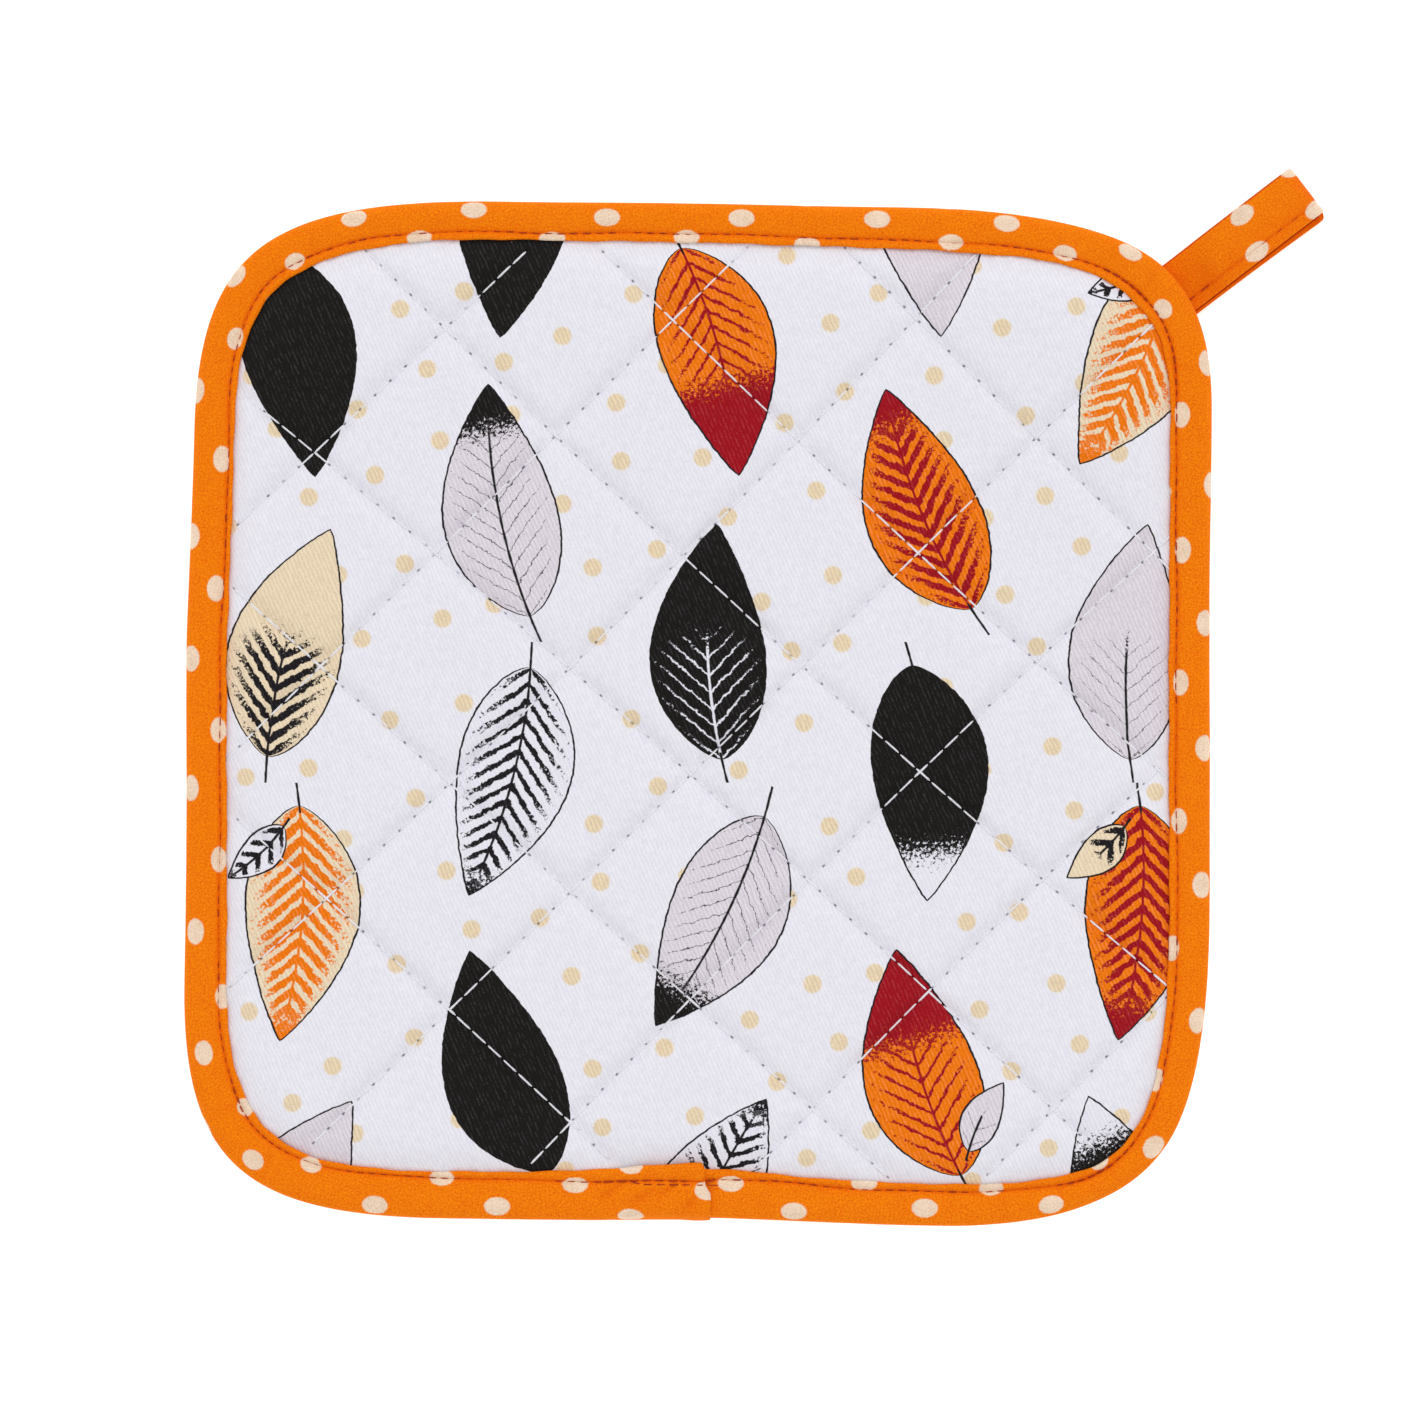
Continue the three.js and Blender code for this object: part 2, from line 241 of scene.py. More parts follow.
def crossing(falling_number, rising_number):
    """Where a falling and a rising row of quilting cross; whole numbers are sewn rows."""
    lines = []
    for rows, number in ((FALLING_ROWS, falling_number), (RISING_ROWS, rising_number)):
        angle = np.radians(row_column(rows, "angle", number))
        shift, bow = (row_column(rows, column, number) for column in ("shift", "bow"))
        lines.append((np.cos(angle), np.sin(angle), shift, bow))
    (fx, fy, falling_shift, falling_bow), (rx, ry, rising_shift, rising_bow) = lines
    x = np.zeros_like(falling_number)
    y = np.zeros_like(falling_number)
    for _ in range(6):
        first = falling_shift + falling_bow * np.maximum(1 - ((fx * x + fy * y) / BOW_SPAN) ** 2, -1)
        second = rising_shift + rising_bow * np.maximum(1 - ((rx * x + ry * y) / BOW_SPAN) ** 2, -1)
        area = -fy * rx + fx * ry
        x, y = (first * rx - second * fx) / area, (first * ry - second * fy) / area
    return np.stack([x, y], axis=1)


LOOP_ROOT = np.array([94.4, 82.4])
LOOP_HEADING = math.radians(37.5)
LOOP_DIRECTION = np.array([math.cos(LOOP_HEADING), math.sin(LOOP_HEADING)])
LIFT_CENTRE = LOOP_ROOT - 3.5 * LOOP_DIRECTION
LIFT_HEIGHT = 2.6
LIFT_LEVEL = 9
LIFT_FADES_OVER = 52


def lift_at(points):
    """How far the loop's layers, which lie under the back right corner, lift the mat."""
    distance = np.linalg.norm(points - LIFT_CENTRE, axis=1)
    t = np.clip((distance - LIFT_LEVEL) / LIFT_FADES_OVER, 0, 1)
    return LIFT_HEIGHT * (1 - t * t * (3 - 2 * t))


ROW_TOP = 5.35
CROWN_TOP = 7.0
CUSHION_SOFTNESS = 1.75
GROOVE_DEPTH = 0.8
GROOVE_SOFTNESS = 2.2
QUILT_RIM = 2.2
EDGE_TOP = 4.4
EDGE_BOTTOM = 0.95
SEWN_DIP = 0.55
SEWN_DIP_WIDTH = 0.6
LOWER_LAP = 8.8
PUCKER_DEPTH = 0.2
PUCKER_WIDTH = 1.6


def row_gap(rows, number):
    """Distance to the nearest row of quilting on either side of a place between rows."""
    low = np.clip(np.floor(number), 0, len(rows) - 2)
    spacing = row_column(rows, "shift", low + 1) - row_column(rows, "shift", low)
    share = number - low
    return np.minimum(share, 1 - share) * spacing


def stitch_phase(number):
    """Each row of quilting starts its stitches at a place of its own."""
    return (np.round(number) * PHASE_STEP) % 1


def uneven(points, scale, seed):
    """A soft unevenness between about -1 and 1, made of a few long waves."""
    random = np.random.default_rng(seed)
    total = np.zeros(len(points))
    for _ in range(7):
        angle = random.uniform(0, 2 * np.pi)
        length = scale * random.uniform(0.6, 1.7)
        phase = random.uniform(0, 2 * np.pi)
        ahead = points[:, 0] * np.cos(angle) + points[:, 1] * np.sin(angle)
        total += np.sin(2 * np.pi * ahead / length + phase)
    return total / 3


def sewn_dip(inward, sewn):
    """How far the edge's layers are drawn together by the row of edge stitching."""
    return SEWN_DIP * np.exp(-(((inward - sewn) / SEWN_DIP_WIDTH) ** 2))


def quilt_heights(falling_number, rising_number, points, station, inward):
    """Heights of the quilt's face and back at places given by row numbers."""
    falling_gap, rising_gap = row_gap(FALLING_ROWS, falling_number), row_gap(RISING_ROWS, rising_number)
    rises = [1 - np.exp(-((gap / CUSHION_SOFTNESS) ** 1.3)) for gap in (falling_gap, rising_gap)]
    swell = rises[0] * rises[1]
    pucker = np.zeros(len(points))
    for gap, number, angle in (
        (falling_gap, falling_number, FALLING_ANGLE),
        (rising_gap, rising_number, RISING_ANGLE),
    ):
        run = points[:, 0] * math.cos(angle) + points[:, 1] * math.sin(angle)
        wave = 0.5 + 0.5 * np.cos(2 * np.pi * (run / STITCH_PITCH - stitch_phase(number)))
        pucker += wave * np.exp(-gap / PUCKER_WIDTH)
    top = ROW_TOP + (CROWN_TOP - ROW_TOP) * swell - PUCKER_DEPTH * pucker
    top += swell * 0.14 * uneven(points, 17, 3) + 0.04 * uneven(points, 6, 4)
    groove = 1 - (1 - np.exp(-falling_gap / GROOVE_SOFTNESS)) * (1 - np.exp(-rising_gap / GROOVE_SOFTNESS))
    bottom = GROOVE_DEPTH * groove
    dip = sewn_dip(inward, EDGE["sewn"][station])
    past_lap = np.clip(inward - EDGE["lap"][station], 0, None)
    top = EDGE_TOP - dip + (top - EDGE_TOP) * (1 - np.exp(-((past_lap / 3.2) ** 1.3)))
    past_lower_lap = np.clip(inward - LOWER_LAP, 0, None)
    filled = 1 - np.exp(-((past_lower_lap / 2.6) ** 1.5))
    bottom = EDGE_BOTTOM + 0.5 * dip + (bottom - EDGE_BOTTOM) * filled
    middle = (EDGE_TOP + EDGE_BOTTOM) / 2
    rim = np.clip((inward - QUILT_RIM) / 1.3, 0, 1)
    rim = np.sqrt(1 - (1 - rim) ** 2)
    return middle + (top - middle) * rim, middle + (bottom - middle) * rim


def face_corners(mesh):
    """The number of the point that each corner of a mesh's faces lies on."""
    corners = np.empty(len(mesh.loops), dtype=int)
    mesh.loops.foreach_get("vertex_index", corners)
    return corners


def add_mesh(name, points, faces, uv=None):
    """A smooth mesh object from points in millimetres; uv holds one pair for each point."""
    mesh = bpy.data.meshes.new(name)
    mesh.from_pydata((points * MM).tolist(), [], faces)
    if uv is not None:
        mesh.uv_layers.new(name="Cloth").data.foreach_set("uv", uv[face_corners(mesh)].ravel())
    mesh.polygons.foreach_set("use_smooth", [True] * len(mesh.polygons))
    made = bpy.data.objects.new(name, mesh)
    bpy.context.collection.objects.link(made)
    return made


def weld(piece, distance):
    """Merges points that lie together, drops unused ones and turns the faces outward."""
    work = bmesh.new()
    work.from_mesh(piece.data)
    bmesh.ops.remove_doubles(work, verts=work.verts, dist=distance)
    bmesh.ops.dissolve_degenerate(work, edges=work.edges, dist=distance)
    bmesh.ops.delete(work, geom=[point for point in work.verts if not point.link_faces], context="VERTS")
    bmesh.ops.recalc_face_normals(work, faces=work.faces)
    work.to_mesh(piece.data)
    work.free()


DIAMOND_STEPS = 30
STEP_CROWDING = 0.35


def row_numbers(rows):
    """Row numbers of the quilt's mesh lines, which crowd together at each sewn row."""
    even = np.arange((len(rows) - 1) * DIAMOND_STEPS + 1) / DIAMOND_STEPS
    return even - STEP_CROWDING * np.sin(2 * np.pi * even) / (2 * np.pi)


def make_quilt():
    falling, rising = row_numbers(FALLING_ROWS), row_numbers(RISING_ROWS)
    rows, columns = len(falling), len(rising)
    falling_grid, rising_grid = (grid.ravel() for grid in np.meshgrid(falling, rising, indexing="ij"))
    points = crossing(falling_grid, rising_grid)
    inward, nearest = inward_from_edge(points)
    outside = inward < QUILT_RIM
    points[outside] += EDGE["inward"][nearest[outside]] * (QUILT_RIM - inward[outside])[:, None]
    inward = np.maximum(inward, QUILT_RIM)
    top, bottom = quilt_heights(falling_grid, rising_grid, points, nearest, inward)
    lift = lift_at(points)
    count = rows * columns
    index = np.arange(count).reshape(rows, columns)
    quads = np.stack([index[:-1, :-1], index[1:, :-1], index[1:, 1:], index[:-1, 1:]], axis=2).reshape(-1, 4)
    quads = quads[~outside[quads].all(axis=1)]
    faces = np.concatenate([quads, quads[:, ::-1] + count])
    solid = np.concatenate([
        np.column_stack([points, top + lift]),
        np.column_stack([points, bottom + lift]),
    ])
    uv = np.tile(np.column_stack([falling_grid, rising_grid]) / 10, (2, 1))
    piece = add_mesh("quilt_body", solid, faces.tolist(), uv)
    back = np.arange(len(faces)) >= len(quads)
    piece.data.polygons.foreach_set("material_index", back.astype(int))
    weld(piece, 1e-6)
    return piece


def adds_math(operation):
    """A method that adds one Math node after the socket that it is called on."""

    def method(self, *others):
        return self.math(operation, self, *others)

    return method


class Term:
    """A shader socket that adds Math nodes when it is used in a sum."""

    def __init__(self, tree, socket=None):
        self.tree = tree
        self.socket = socket

    def node(self, kind, inputs=None, output=0, **settings):
        made = self.tree.nodes.new("ShaderNode" + kind)
        for name, value in settings.items():
            setattr(made, name, value)
        for name, value in (inputs or {}).items():
            if isinstance(value, Term):
                self.tree.links.new(value.socket, made.inputs[name])
            else:
                made.inputs[name].default_value = value
        return Term(self.tree, made.outputs[output])

    def math(self, operation, *values, **settings):
        return self.node("Math", dict(enumerate(values)), operation=operation, **settings)

    __add__ = __radd__ = adds_math("ADD")
    __sub__ = adds_math("SUBTRACT")
    __mul__ = __rmul__ = adds_math("MULTIPLY")
    __truediv__ = adds_math("DIVIDE")
    __pow__ = adds_math("POWER")
    __mod__ = adds_math("FLOORED_MODULO")
    __lt__ = adds_math("LESS_THAN")
    __gt__ = adds_math("GREATER_THAN")
    __abs__ = adds_math("ABSOLUTE")
    sin = adds_math("SINE")
    cos = adds_math("COSINE")
    floor = adds_math("FLOOR")

    def __rsub__(self, other):
        return self.math("SUBTRACT", other, self)

    def part(self, axis):
        """One number of a vector: 0 for X, 1 for Y."""
        return self.node("SeparateXYZ", {0: self}, output=axis)

    def from_whole(self):
        """Distance of a number from the nearest whole number."""
        return self.math("PINGPONG", self, 0.5)

    def clamped(self):
        return self.math("ADD", self, 0.0, use_clamp=True)

    def between(self, low, high):
        """0 below low and 1 above high, with a soft step from one to the other."""
        inputs = {"Value": self, "From Min": low, "From Max": high}
        return self.node("MapRange", inputs, interpolation_type="SMOOTHSTEP")

    def mix(self, first, second, blend="MIX"):
        """Colour that goes from first to second as this value goes from 0 to 1."""
        return self.node("Mix", {0: self, 6: first, 7: second}, output=2, data_type="RGBA", blend_type=blend)


def srgb(red, green, blue):
    """A colour given in screen values from 0 to 255, as the shader wants it."""
    channels = [c / 255 for c in (red, green, blue)]
    return [c / 12.92 if c < 0.04045 else ((c + 0.055) / 1.055) ** 2.4 for c in channels] + [1]


def new_cloth(name, roughness, sheen):
    """An empty cloth material: its shader, and a term to start its pattern from."""
    material = bpy.data.materials.new(name)
    material.use_nodes = True
    shader = material.node_tree.nodes["Principled BSDF"]
    shader.inputs["Roughness"].default_value = roughness
    shader.inputs["Specular IOR Level"].default_value = 0.12
    shader.inputs["Sheen Weight"].default_value = sheen
    shader.inputs["Sheen Roughness"].default_value = 0.5
    return material, shader, Term(material.node_tree)


def finish_cloth(shader, colour, height, depth):
    """Gives a cloth its colour and its raised threads, depth millimetres high."""
    bump = colour.node("Bump", {"Height": height, "Distance": depth * MM, "Strength": 1.0})
    colour.tree.links.new(colour.socket, shader.inputs["Base Color"])
    colour.tree.links.new(bump.socket, shader.inputs["Normal"])


def place(start, x, y):
    return start.node("CombineXYZ", {"X": x, "Y": y})


def noise(start, x, y, scale, detail, roughness=0.5):
    """Soft noise over a cloth, from 0 to 1 and mostly near 0.5."""
    inputs = {"Vector": place(start, x, y), "Scale": scale, "Detail": detail, "Roughness": roughness}
    return start.node("TexNoise", inputs)


def flat_place(start):
    """Where a point lies on the mat, in millimetres along X and Y."""
    where = start.node("TexCoord", output=3)
    return [where.part(axis) / MM for axis in (0, 1)]


WALE_PITCH = 0.78
YARN_PITCH = 0.46
WALE_ANGLE = math.radians(23.4)


def twill(start, x, y, angle):
    """Broken diagonal ridges of cotton twill, from 0 in the hollows to 1 on the ridges."""
    across = x * math.cos(angle) + y * math.sin(angle)
    along = y * math.cos(angle) - x * math.sin(angle)
    sway = noise(start, x, y, 0.45, 2.0)
    thick = noise(start, across * 1.4, along * 0.5, 1.0, 2.0)
    fine = noise(start, across * 2.6, along * 1.7, 1.0, 1.0)
    turns = across * (2 * math.pi / WALE_PITCH)
    ridge = (turns + sway * 5).sin() * thick.between(0.2, 0.65)
    yarn = (along * (2 * math.pi / YARN_PITCH) + turns).sin()
    return 0.5 + ridge * 0.3 + yarn * 0.1 + (thick - 0.5) * 0.7 + (fine - 0.5) * 0.7


WHITE = srgb(233, 232, 240)
BLACK = srgb(25, 23, 21)
INK = srgb(28, 25, 28)
ORANGE = srgb(246, 124, 4)
RED = srgb(162, 14, 28)
CREAM = srgb(238, 219, 186)
GREY = srgb(225, 218, 225)
DOT_PITCH = 15.2
DOT_WIDTH = 3.6
LEAF_ACROSS = 41.0
LEAF_DOWN = 55.0
LEAF_LENGTH = 46.0
LEAF_WIDTH = 22.5
LEAF_SWING = 1.0
VEIN_PITCH = 3.3
OUTLINE_WIDTH = 0.46
LEAF_KINDS = (
    {"name": "veined black", "fill": BLACK, "vein": WHITE, "vein_width": 0.07,
     "tip": BLACK, "tip_from": 0.5, "line": BLACK},
    {"name": "orange", "fill": ORANGE, "vein": RED, "vein_width": 0.26,
     "tip": RED, "tip_from": 0.84, "line": INK},
    {"name": "striped cream", "fill": CREAM, "vein": INK, "vein_width": 0.27,
     "tip": CREAM, "tip_from": 0.5, "line": INK},
    {"name": "tipped grey", "fill": GREY, "vein": INK, "vein_width": 0.03,
     "tip": BLACK, "tip_from": 0.8, "line": INK},
    {"name": "tipped black", "fill": BLACK, "vein": BLACK, "vein_width": 0.05,
     "tip": WHITE, "tip_from": 0.8, "line": BLACK},
    {"name": "brushed cream", "fill": CREAM, "vein": ORANGE, "vein_width": 0.3,
     "tip": ORANGE, "tip_from": 0.9, "line": INK},
    {"name": "striped white", "fill": WHITE, "vein": INK, "vein_width": 0.2,
     "tip": INK, "tip_from": 0.93, "line": INK},
    {"name": "brushed orange", "fill": ORANGE, "vein": RED, "vein_width": 0.12,
     "tip": RED, "tip_from": 0.6, "line": INK},
    {"name": "grey", "fill": GREY, "vein": INK, "vein_width": 0.02,
     "tip": GREY, "tip_from": 0.5, "line": INK},
    {"name": "black", "fill": BLACK, "vein": BLACK, "vein_width": 0.05,
     "tip": BLACK, "tip_from": 0.5, "line": BLACK},
)


def leaf(x, y, angle, length, width):
    """A pointed leaf round a place: how far inside it a point lies, and where in it."""
    along = x * angle.sin() + y * angle.cos()
    share = along / length + 0.5
    bend = (share - 0.5) * (share - 0.5) * (0.2 * length)
    across = x * angle.cos() - y * angle.sin() - bend + 0.03 * length
    half = (share.clamped() ** 0.78 * math.pi).sin() ** 0.85 * (width / 2)
    past = share.math("MAXIMUM", abs(share - 0.5) - 0.5, 0.0) * length
    side = abs(across)
    return {"inside": half - side - past, "share": share, "side": side, "half": half, "along": along}


def print_leaf(colour, shape, kind, strength, wobble, rough):
    """Adds one leaf's inks to a colour: fill, side veins, middle vein, outline and stalk."""
    masks = [abs(kind - number) < 0.5 for number in range(len(LEAF_KINDS))]

    def chosen(column):
        found = LEAF_KINDS[0][column]
        for mask, row in zip(masks[1:], LEAF_KINDS[1:]):
            found = mask.mix(found, row[column])
        return found

    def chosen_number(column):
        return sum(mask * row[column] for mask, row in zip(masks, LEAF_KINDS))

    share, side = shape["share"], shape["side"]
    inside = shape["inside"] + wobble * 0.6
    filled = inside.between(-0.12, 0.12) * strength
    tipped = (share + (rough - 0.5) * 0.45 - chosen_number("tip_from")).between(-0.02, 0.02)
    colour = filled.mix(colour, tipped.mix(chosen("fill"), chosen("tip")))
    slant = (shape["along"] - side * 0.95 + wobble * 1.8) / VEIN_PITCH + (rough - 0.5) * 0.35
    vein_width = chosen_number("vein_width")
    stroke = 1 - (slant.from_whole() - vein_width).between(-0.03, 0.03)
    broken = (rough + (0.6 - side / (shape["half"] + 0.5)) * 0.6).between(0.4, 0.5)
    colour = (stroke * broken * filled * (inside > 0.6) * (1 - tipped)).mix(colour, chosen("vein"))
    middle = 1 - (side + wobble * 0.3).between(0.16, 0.34)
    colour = (middle * filled * (share < 0.9) * (1 - tipped)).mix(colour, chosen("vein"))
    rim = inside.between(-0.24, -0.1) * (1 - inside.between(OUTLINE_WIDTH - 0.3, OUTLINE_WIDTH - 0.16))
    stalk = middle * (share > -0.13) * (share < 0.03)
    line = rim.math("MAXIMUM", rim, stalk) * strength
    return line.mix(colour, chosen("line"))


def leaf_print(start, x, y, base):
    """Scattered leaves in half-drop columns, over the cloth's own colour."""
    wobble = noise(start, x, y, 0.55, 2.0) - 0.5
    rough = noise(start, x, y, 1.5, 3.0, 0.7)
    column = (x / LEAF_ACROSS + 0.42).floor()
    shifted = y + (column % 2) * (LEAF_DOWN / 2) + 14
    row = (shifted / LEAF_DOWN).floor()
    cell_x = x - (column + 0.08) * LEAF_ACROSS
    cell_y = shifted - (row + 0.5) * LEAF_DOWN
    cell = place(start, column + 31, row + 7)
    chance = start.node("TexWhiteNoise", {"Vector": cell}, output=1, noise_dimensions="2D")
    swing, small_chance = [
        start.node("SeparateColor", {"Color": chance}, output=channel) for channel in (0, 1)
    ]
    angle = (swing - 0.5) * LEAF_SWING + ((column + row) % 2) * math.pi
    kind = (column * 4 + row * 7 + 90) % len(LEAF_KINDS)
    big = leaf(cell_x, cell_y, angle, LEAF_LENGTH, LEAF_WIDTH)
    colour = print_leaf(base, big, kind, 1.0, wobble, rough)
    small_x = cell_x + 13 * angle.sin() - 8.5 * angle.cos()
    small_y = cell_y + 13 * angle.cos() + 8.5 * angle.sin()
    small = leaf(small_x, small_y, angle + 0.75, 15.0, 7.5)
    return print_leaf(colour, small, (kind + 1) % len(LEAF_KINDS), small_chance > 0.68, wobble * 0.6, rough)


def needle_hole_shade(start, x, y):
    """Painted shade in the small holes where the quilting thread goes through the cloth."""
    grid = start.node("UVMap", uv_map="Cloth")
    marks = None
    for axis, angle in ((0, FALLING_ANGLE), (1, RISING_ANGLE)):
        number = grid.part(axis) * 10
        gap = number.from_whole() * ROW_SPACING
        along = x * math.cos(angle) + y * math.sin(angle)
        run = along / STITCH_PITCH - (number + 0.5).floor() * PHASE_STEP
        away = (gap * gap * 4.0 + (run.from_whole() * STITCH_PITCH) ** 2) ** 0.5
        mark = 1 - away.between(0.12, 0.66)
        marks = mark if marks is None else marks.math("MAXIMUM", marks, mark)
    return marks * noise(start, x, y, 0.32, 2.0).between(0.3, 0.55)


def printed_twill():
    material, shader, start = new_cloth("printed_cotton", 0.9, 0.04)
    x, y = flat_place(start)
    ridge = twill(start, x, y, WALE_ANGLE)
    mottle = noise(start, x, y, 0.6, 3.0, 0.6)
    cloth = mottle.between(0.3, 0.7).mix(srgb(232, 231, 239), srgb(237, 236, 243))
    wobble = noise(start, x, y, 1.4, 2.0) - 0.5
    across, down = (x * 0.94 + y * 0.34) / DOT_PITCH, (y * 0.94 - x * 0.34) / DOT_PITCH
    scattered = start.node(
        "TexVoronoi", {"Vector": place(start, across, down), "Scale": 1.0, "Randomness": 0.4},
        voronoi_dimensions="2D",
    )
    dot_edge = DOT_WIDTH / 2 / DOT_PITCH + wobble * 0.02
    dots = 1 - (scattered - dot_edge).between(-0.022, 0.02)
    colour = leaf_print(start, x, y, dots.mix(cloth, srgb(236, 216, 180)))
    lightness = start.node("RGBToBW", {"Color": colour})
    pale_ink, white = lightness.between(0.0, 0.3), lightness.between(0.68, 0.8)
    bare = ridge.between(0.55, 1.0)
    colour = (bare * (0.03 + 0.05 * pale_ink)).mix(colour, WHITE)
    # Painted shade in the twill's hollows, weaker on the white ground.
    hollow = (1 - ridge).between(0.2, 0.95)
    colour = (hollow * (0.85 - 0.42 * white)).mix(colour, srgb(222, 219, 228), "MULTIPLY")
    # Painted shade in the quilting's needle holes.
    colour = (needle_hole_shade(start, x, y) * 0.85).mix(colour, srgb(96, 94, 108), "MULTIPLY")
    finish_cloth(shader, colour, ridge, 0.04)
    return material


def plain_twill():
    material, shader, start = new_cloth("plain_back_cotton", 0.92, 0.04)
    x, y = flat_place(start)
    ridge = twill(start, x, y, -WALE_ANGLE)
    mottle = noise(start, x, y, 0.06, 3.0)
    cloth = mottle.between(0.3, 0.7).mix(srgb(228, 227, 230), srgb(237, 236, 238))
    # Painted shade in the twill's hollows.
    colour = ((1 - ridge).between(0.5, 1.0) * 0.4).mix(cloth, srgb(218, 216, 222), "MULTIPLY")
    # Painted shade in the quilting's needle holes.
    colour = (needle_hole_shade(start, x, y) * 0.7).mix(colour, srgb(130, 128, 135), "MULTIPLY")
    finish_cloth(shader, colour, ridge, 0.06)
    return material


quilt = make_quilt()
quilt.data.materials.append(printed_twill())
quilt.data.materials.append(plain_twill())
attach(quilt, "root")
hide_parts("quilt")

# The quilting thread.
# White sewing thread, in a lockstitch through the face, the wadding and the back, so
# each row shows as a line of stitches on both sides. One stitch is shaped and copied.
THREAD = 0.48
STITCH_LENGTH = 3.8
STITCH_DIP = 0.36
STITCH_SUNK = 0.08
THREAD_OVER_FACE = 0.22
THREAD_UNDER_BACK = 0.12
STITCH_UNDER_LAP = 0.8
SHARE_LEFT_FREE = 0.025


def shape_stitch(name, length, thickness, dip):
    """One stitch along X, on the cloth in its middle and drawn into it at its ends."""
    bpy.ops.mesh.primitive_cylinder_add(
        vertices=6, radius=thickness / 2 * MM, depth=length * MM, rotation=(0, math.pi / 2, 0)
    )
    stitch = bpy.context.object
    stitch.name = name
    bpy.ops.object.transform_apply(location=True, rotation=True, scale=True)
    bpy.ops.object.mode_set(mode="EDIT")
    bpy.ops.mesh.select_mode(type="EDGE")
    bpy.ops.mesh.select_all(action="DESELECT")
    mesh = bmesh.from_edit_mesh(stitch.data)
    for edge in mesh.edges:
        ends = [vertex.co.x for vertex in edge.verts]
        edge.select_set(abs(ends[0] - ends[1]) > length * MM / 2)
    bpy.ops.mesh.subdivide(number_cuts=5)
    bpy.ops.mesh.select_mode(type="VERT")
    for side in (-1, 1):
        for ring, drop, size in ((1.0, 1.0, 0.7), (2 / 3, 0.22, 1.0)):
            bpy.ops.mesh.select_all(action="DESELECT")
            mesh = bmesh.from_edit_mesh(stitch.data)
            for vertex in mesh.verts:
                vertex.select_set(abs(vertex.co.x - side * ring * length * MM / 2) < 0.05 * MM)
            bpy.ops.transform.translate(value=(0, 0, -drop * dip * MM))
            bpy.ops.transform.resize(value=(1, size, size))
    bpy.ops.object.mode_set(mode="OBJECT")
    return stitch


def lay_stitches(name, model, starts, ends, ups, sunk, left_free):
    """Copies of one stitch, joined in one mesh, each from a start to an end but for the share
    left free at both. Each is sunk by a random share of the distance sunk, and lies a little
    aside of its row."""
    random = np.random.default_rng(len(starts))
    shape = np.array([vertex.co for vertex in model.data.vertices]) / MM
    shape_length = shape[:, 0].max() - shape[:, 0].min()
    sides = [list(face.vertices) for face in model.data.polygons]
    free = (ends - starts) * left_free
    starts, ends = starts + free, ends - free
    along = ends - starts
    length = np.linalg.norm(along, axis=1)
    along /= length[:, None]
    across = np.cross(ups, along)
    across /= np.linalg.norm(across, axis=1)[:, None]
    ups = np.cross(along, across)
    sunk = np.broadcast_to(sunk, len(starts))[:, None]
    middle = (starts + ends) / 2 - ups * sunk * random.uniform(0, 1, (len(starts), 1))
    middle += across * sunk * random.normal(0, 0.33, (len(starts), 1))
    points, faces = [], []
    for index in range(len(starts)):
        stretch = length[index] / shape_length
        points.append(
            middle[index]
            + np.outer(shape[:, 0] * stretch, along[index])
            + np.outer(shape[:, 1], across[index])
            + np.outer(shape[:, 2], ups[index])
        )
        faces += [[corner + index * len(shape) for corner in side] for side in sides]
    piece = add_mesh(name, np.concatenate(points), faces)
    piece.data.materials.append(model.data.materials[0])
    return piece


def sewn_rows(side):
    """Starts and ends of the quilting stitches on the face (side 1) or the back (-1)."""
    starts, ends = [], []
    for rows, other, angle, falls in (
        (FALLING_ROWS, RISING_ROWS, FALLING_ANGLE, True),
        (RISING_ROWS, FALLING_ROWS, RISING_ANGLE, False),
    ):
        for number in range(1, len(rows) - 1):
            fine = np.linspace(0, len(other) - 1, 900)
            row = np.full_like(fine, number)
            points = crossing(row, fine) if falls else crossing(fine, row)
            run = points[:, 0] * math.cos(angle) + points[:, 1] * math.sin(angle)
            order = np.argsort(run)
            phase = stitch_phase(np.array([float(number)]))[0]
            first = math.ceil(run.min() / STITCH_PITCH - phase)
            holes = (np.arange(first, first + 80) + phase) * STITCH_PITCH
            holes = holes[holes < run.max()]
            cross = np.interp(holes, run[order], fine[order])
            fixed = np.full_like(cross, number)
            numbers = (fixed, cross) if falls else (cross, fixed)
            spots = crossing(*numbers)
            inward, nearest = inward_from_edge(spots)
            top, bottom = quilt_heights(*numbers, spots, nearest, inward)
            height = top + THREAD_OVER_FACE if side > 0 else bottom - THREAD_UNDER_BACK
            height += lift_at(spots)
            shown = inward > (EDGE["lap"][nearest] if side > 0 else LOWER_LAP) - STITCH_UNDER_LAP
            solid = np.column_stack([spots, height])
            pairs = shown[:-1] & shown[1:]
            starts.append(solid[:-1][pairs])
            ends.append(solid[1:][pairs])
    return np.concatenate(starts), np.concatenate(ends)


def thread_material(name, colour, dark):
    """Twisted sewing thread, with painted shade between its plies."""
    material, shader, start = new_cloth(name, 0.6, 0.1)
    plies = noise(start, *flat_place(start), 3.0, 2.0)
    finish_cloth(shader, plies.between(0.35, 0.6).mix(dark, colour), plies, 0.05)
    return material


white_thread = thread_material("white_thread", srgb(238, 237, 243), srgb(222, 221, 229))
stitch_model = shape_stitch("stitch_model", STITCH_LENGTH, THREAD, STITCH_DIP)
stitch_model.data.materials.append(white_thread)
for side, name in ((1, "quilting_face"), (-1, "quilting_back")):
    starts, ends = sewn_rows(side)
    stitches = lay_stitches(
        name, stitch_model, starts, ends, ups=(0, 0, side), sunk=STITCH_SUNK, left_free=SHARE_LEFT_FREE
    )
    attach(stitches, "root")
bpy.data.objects.remove(stitch_model)

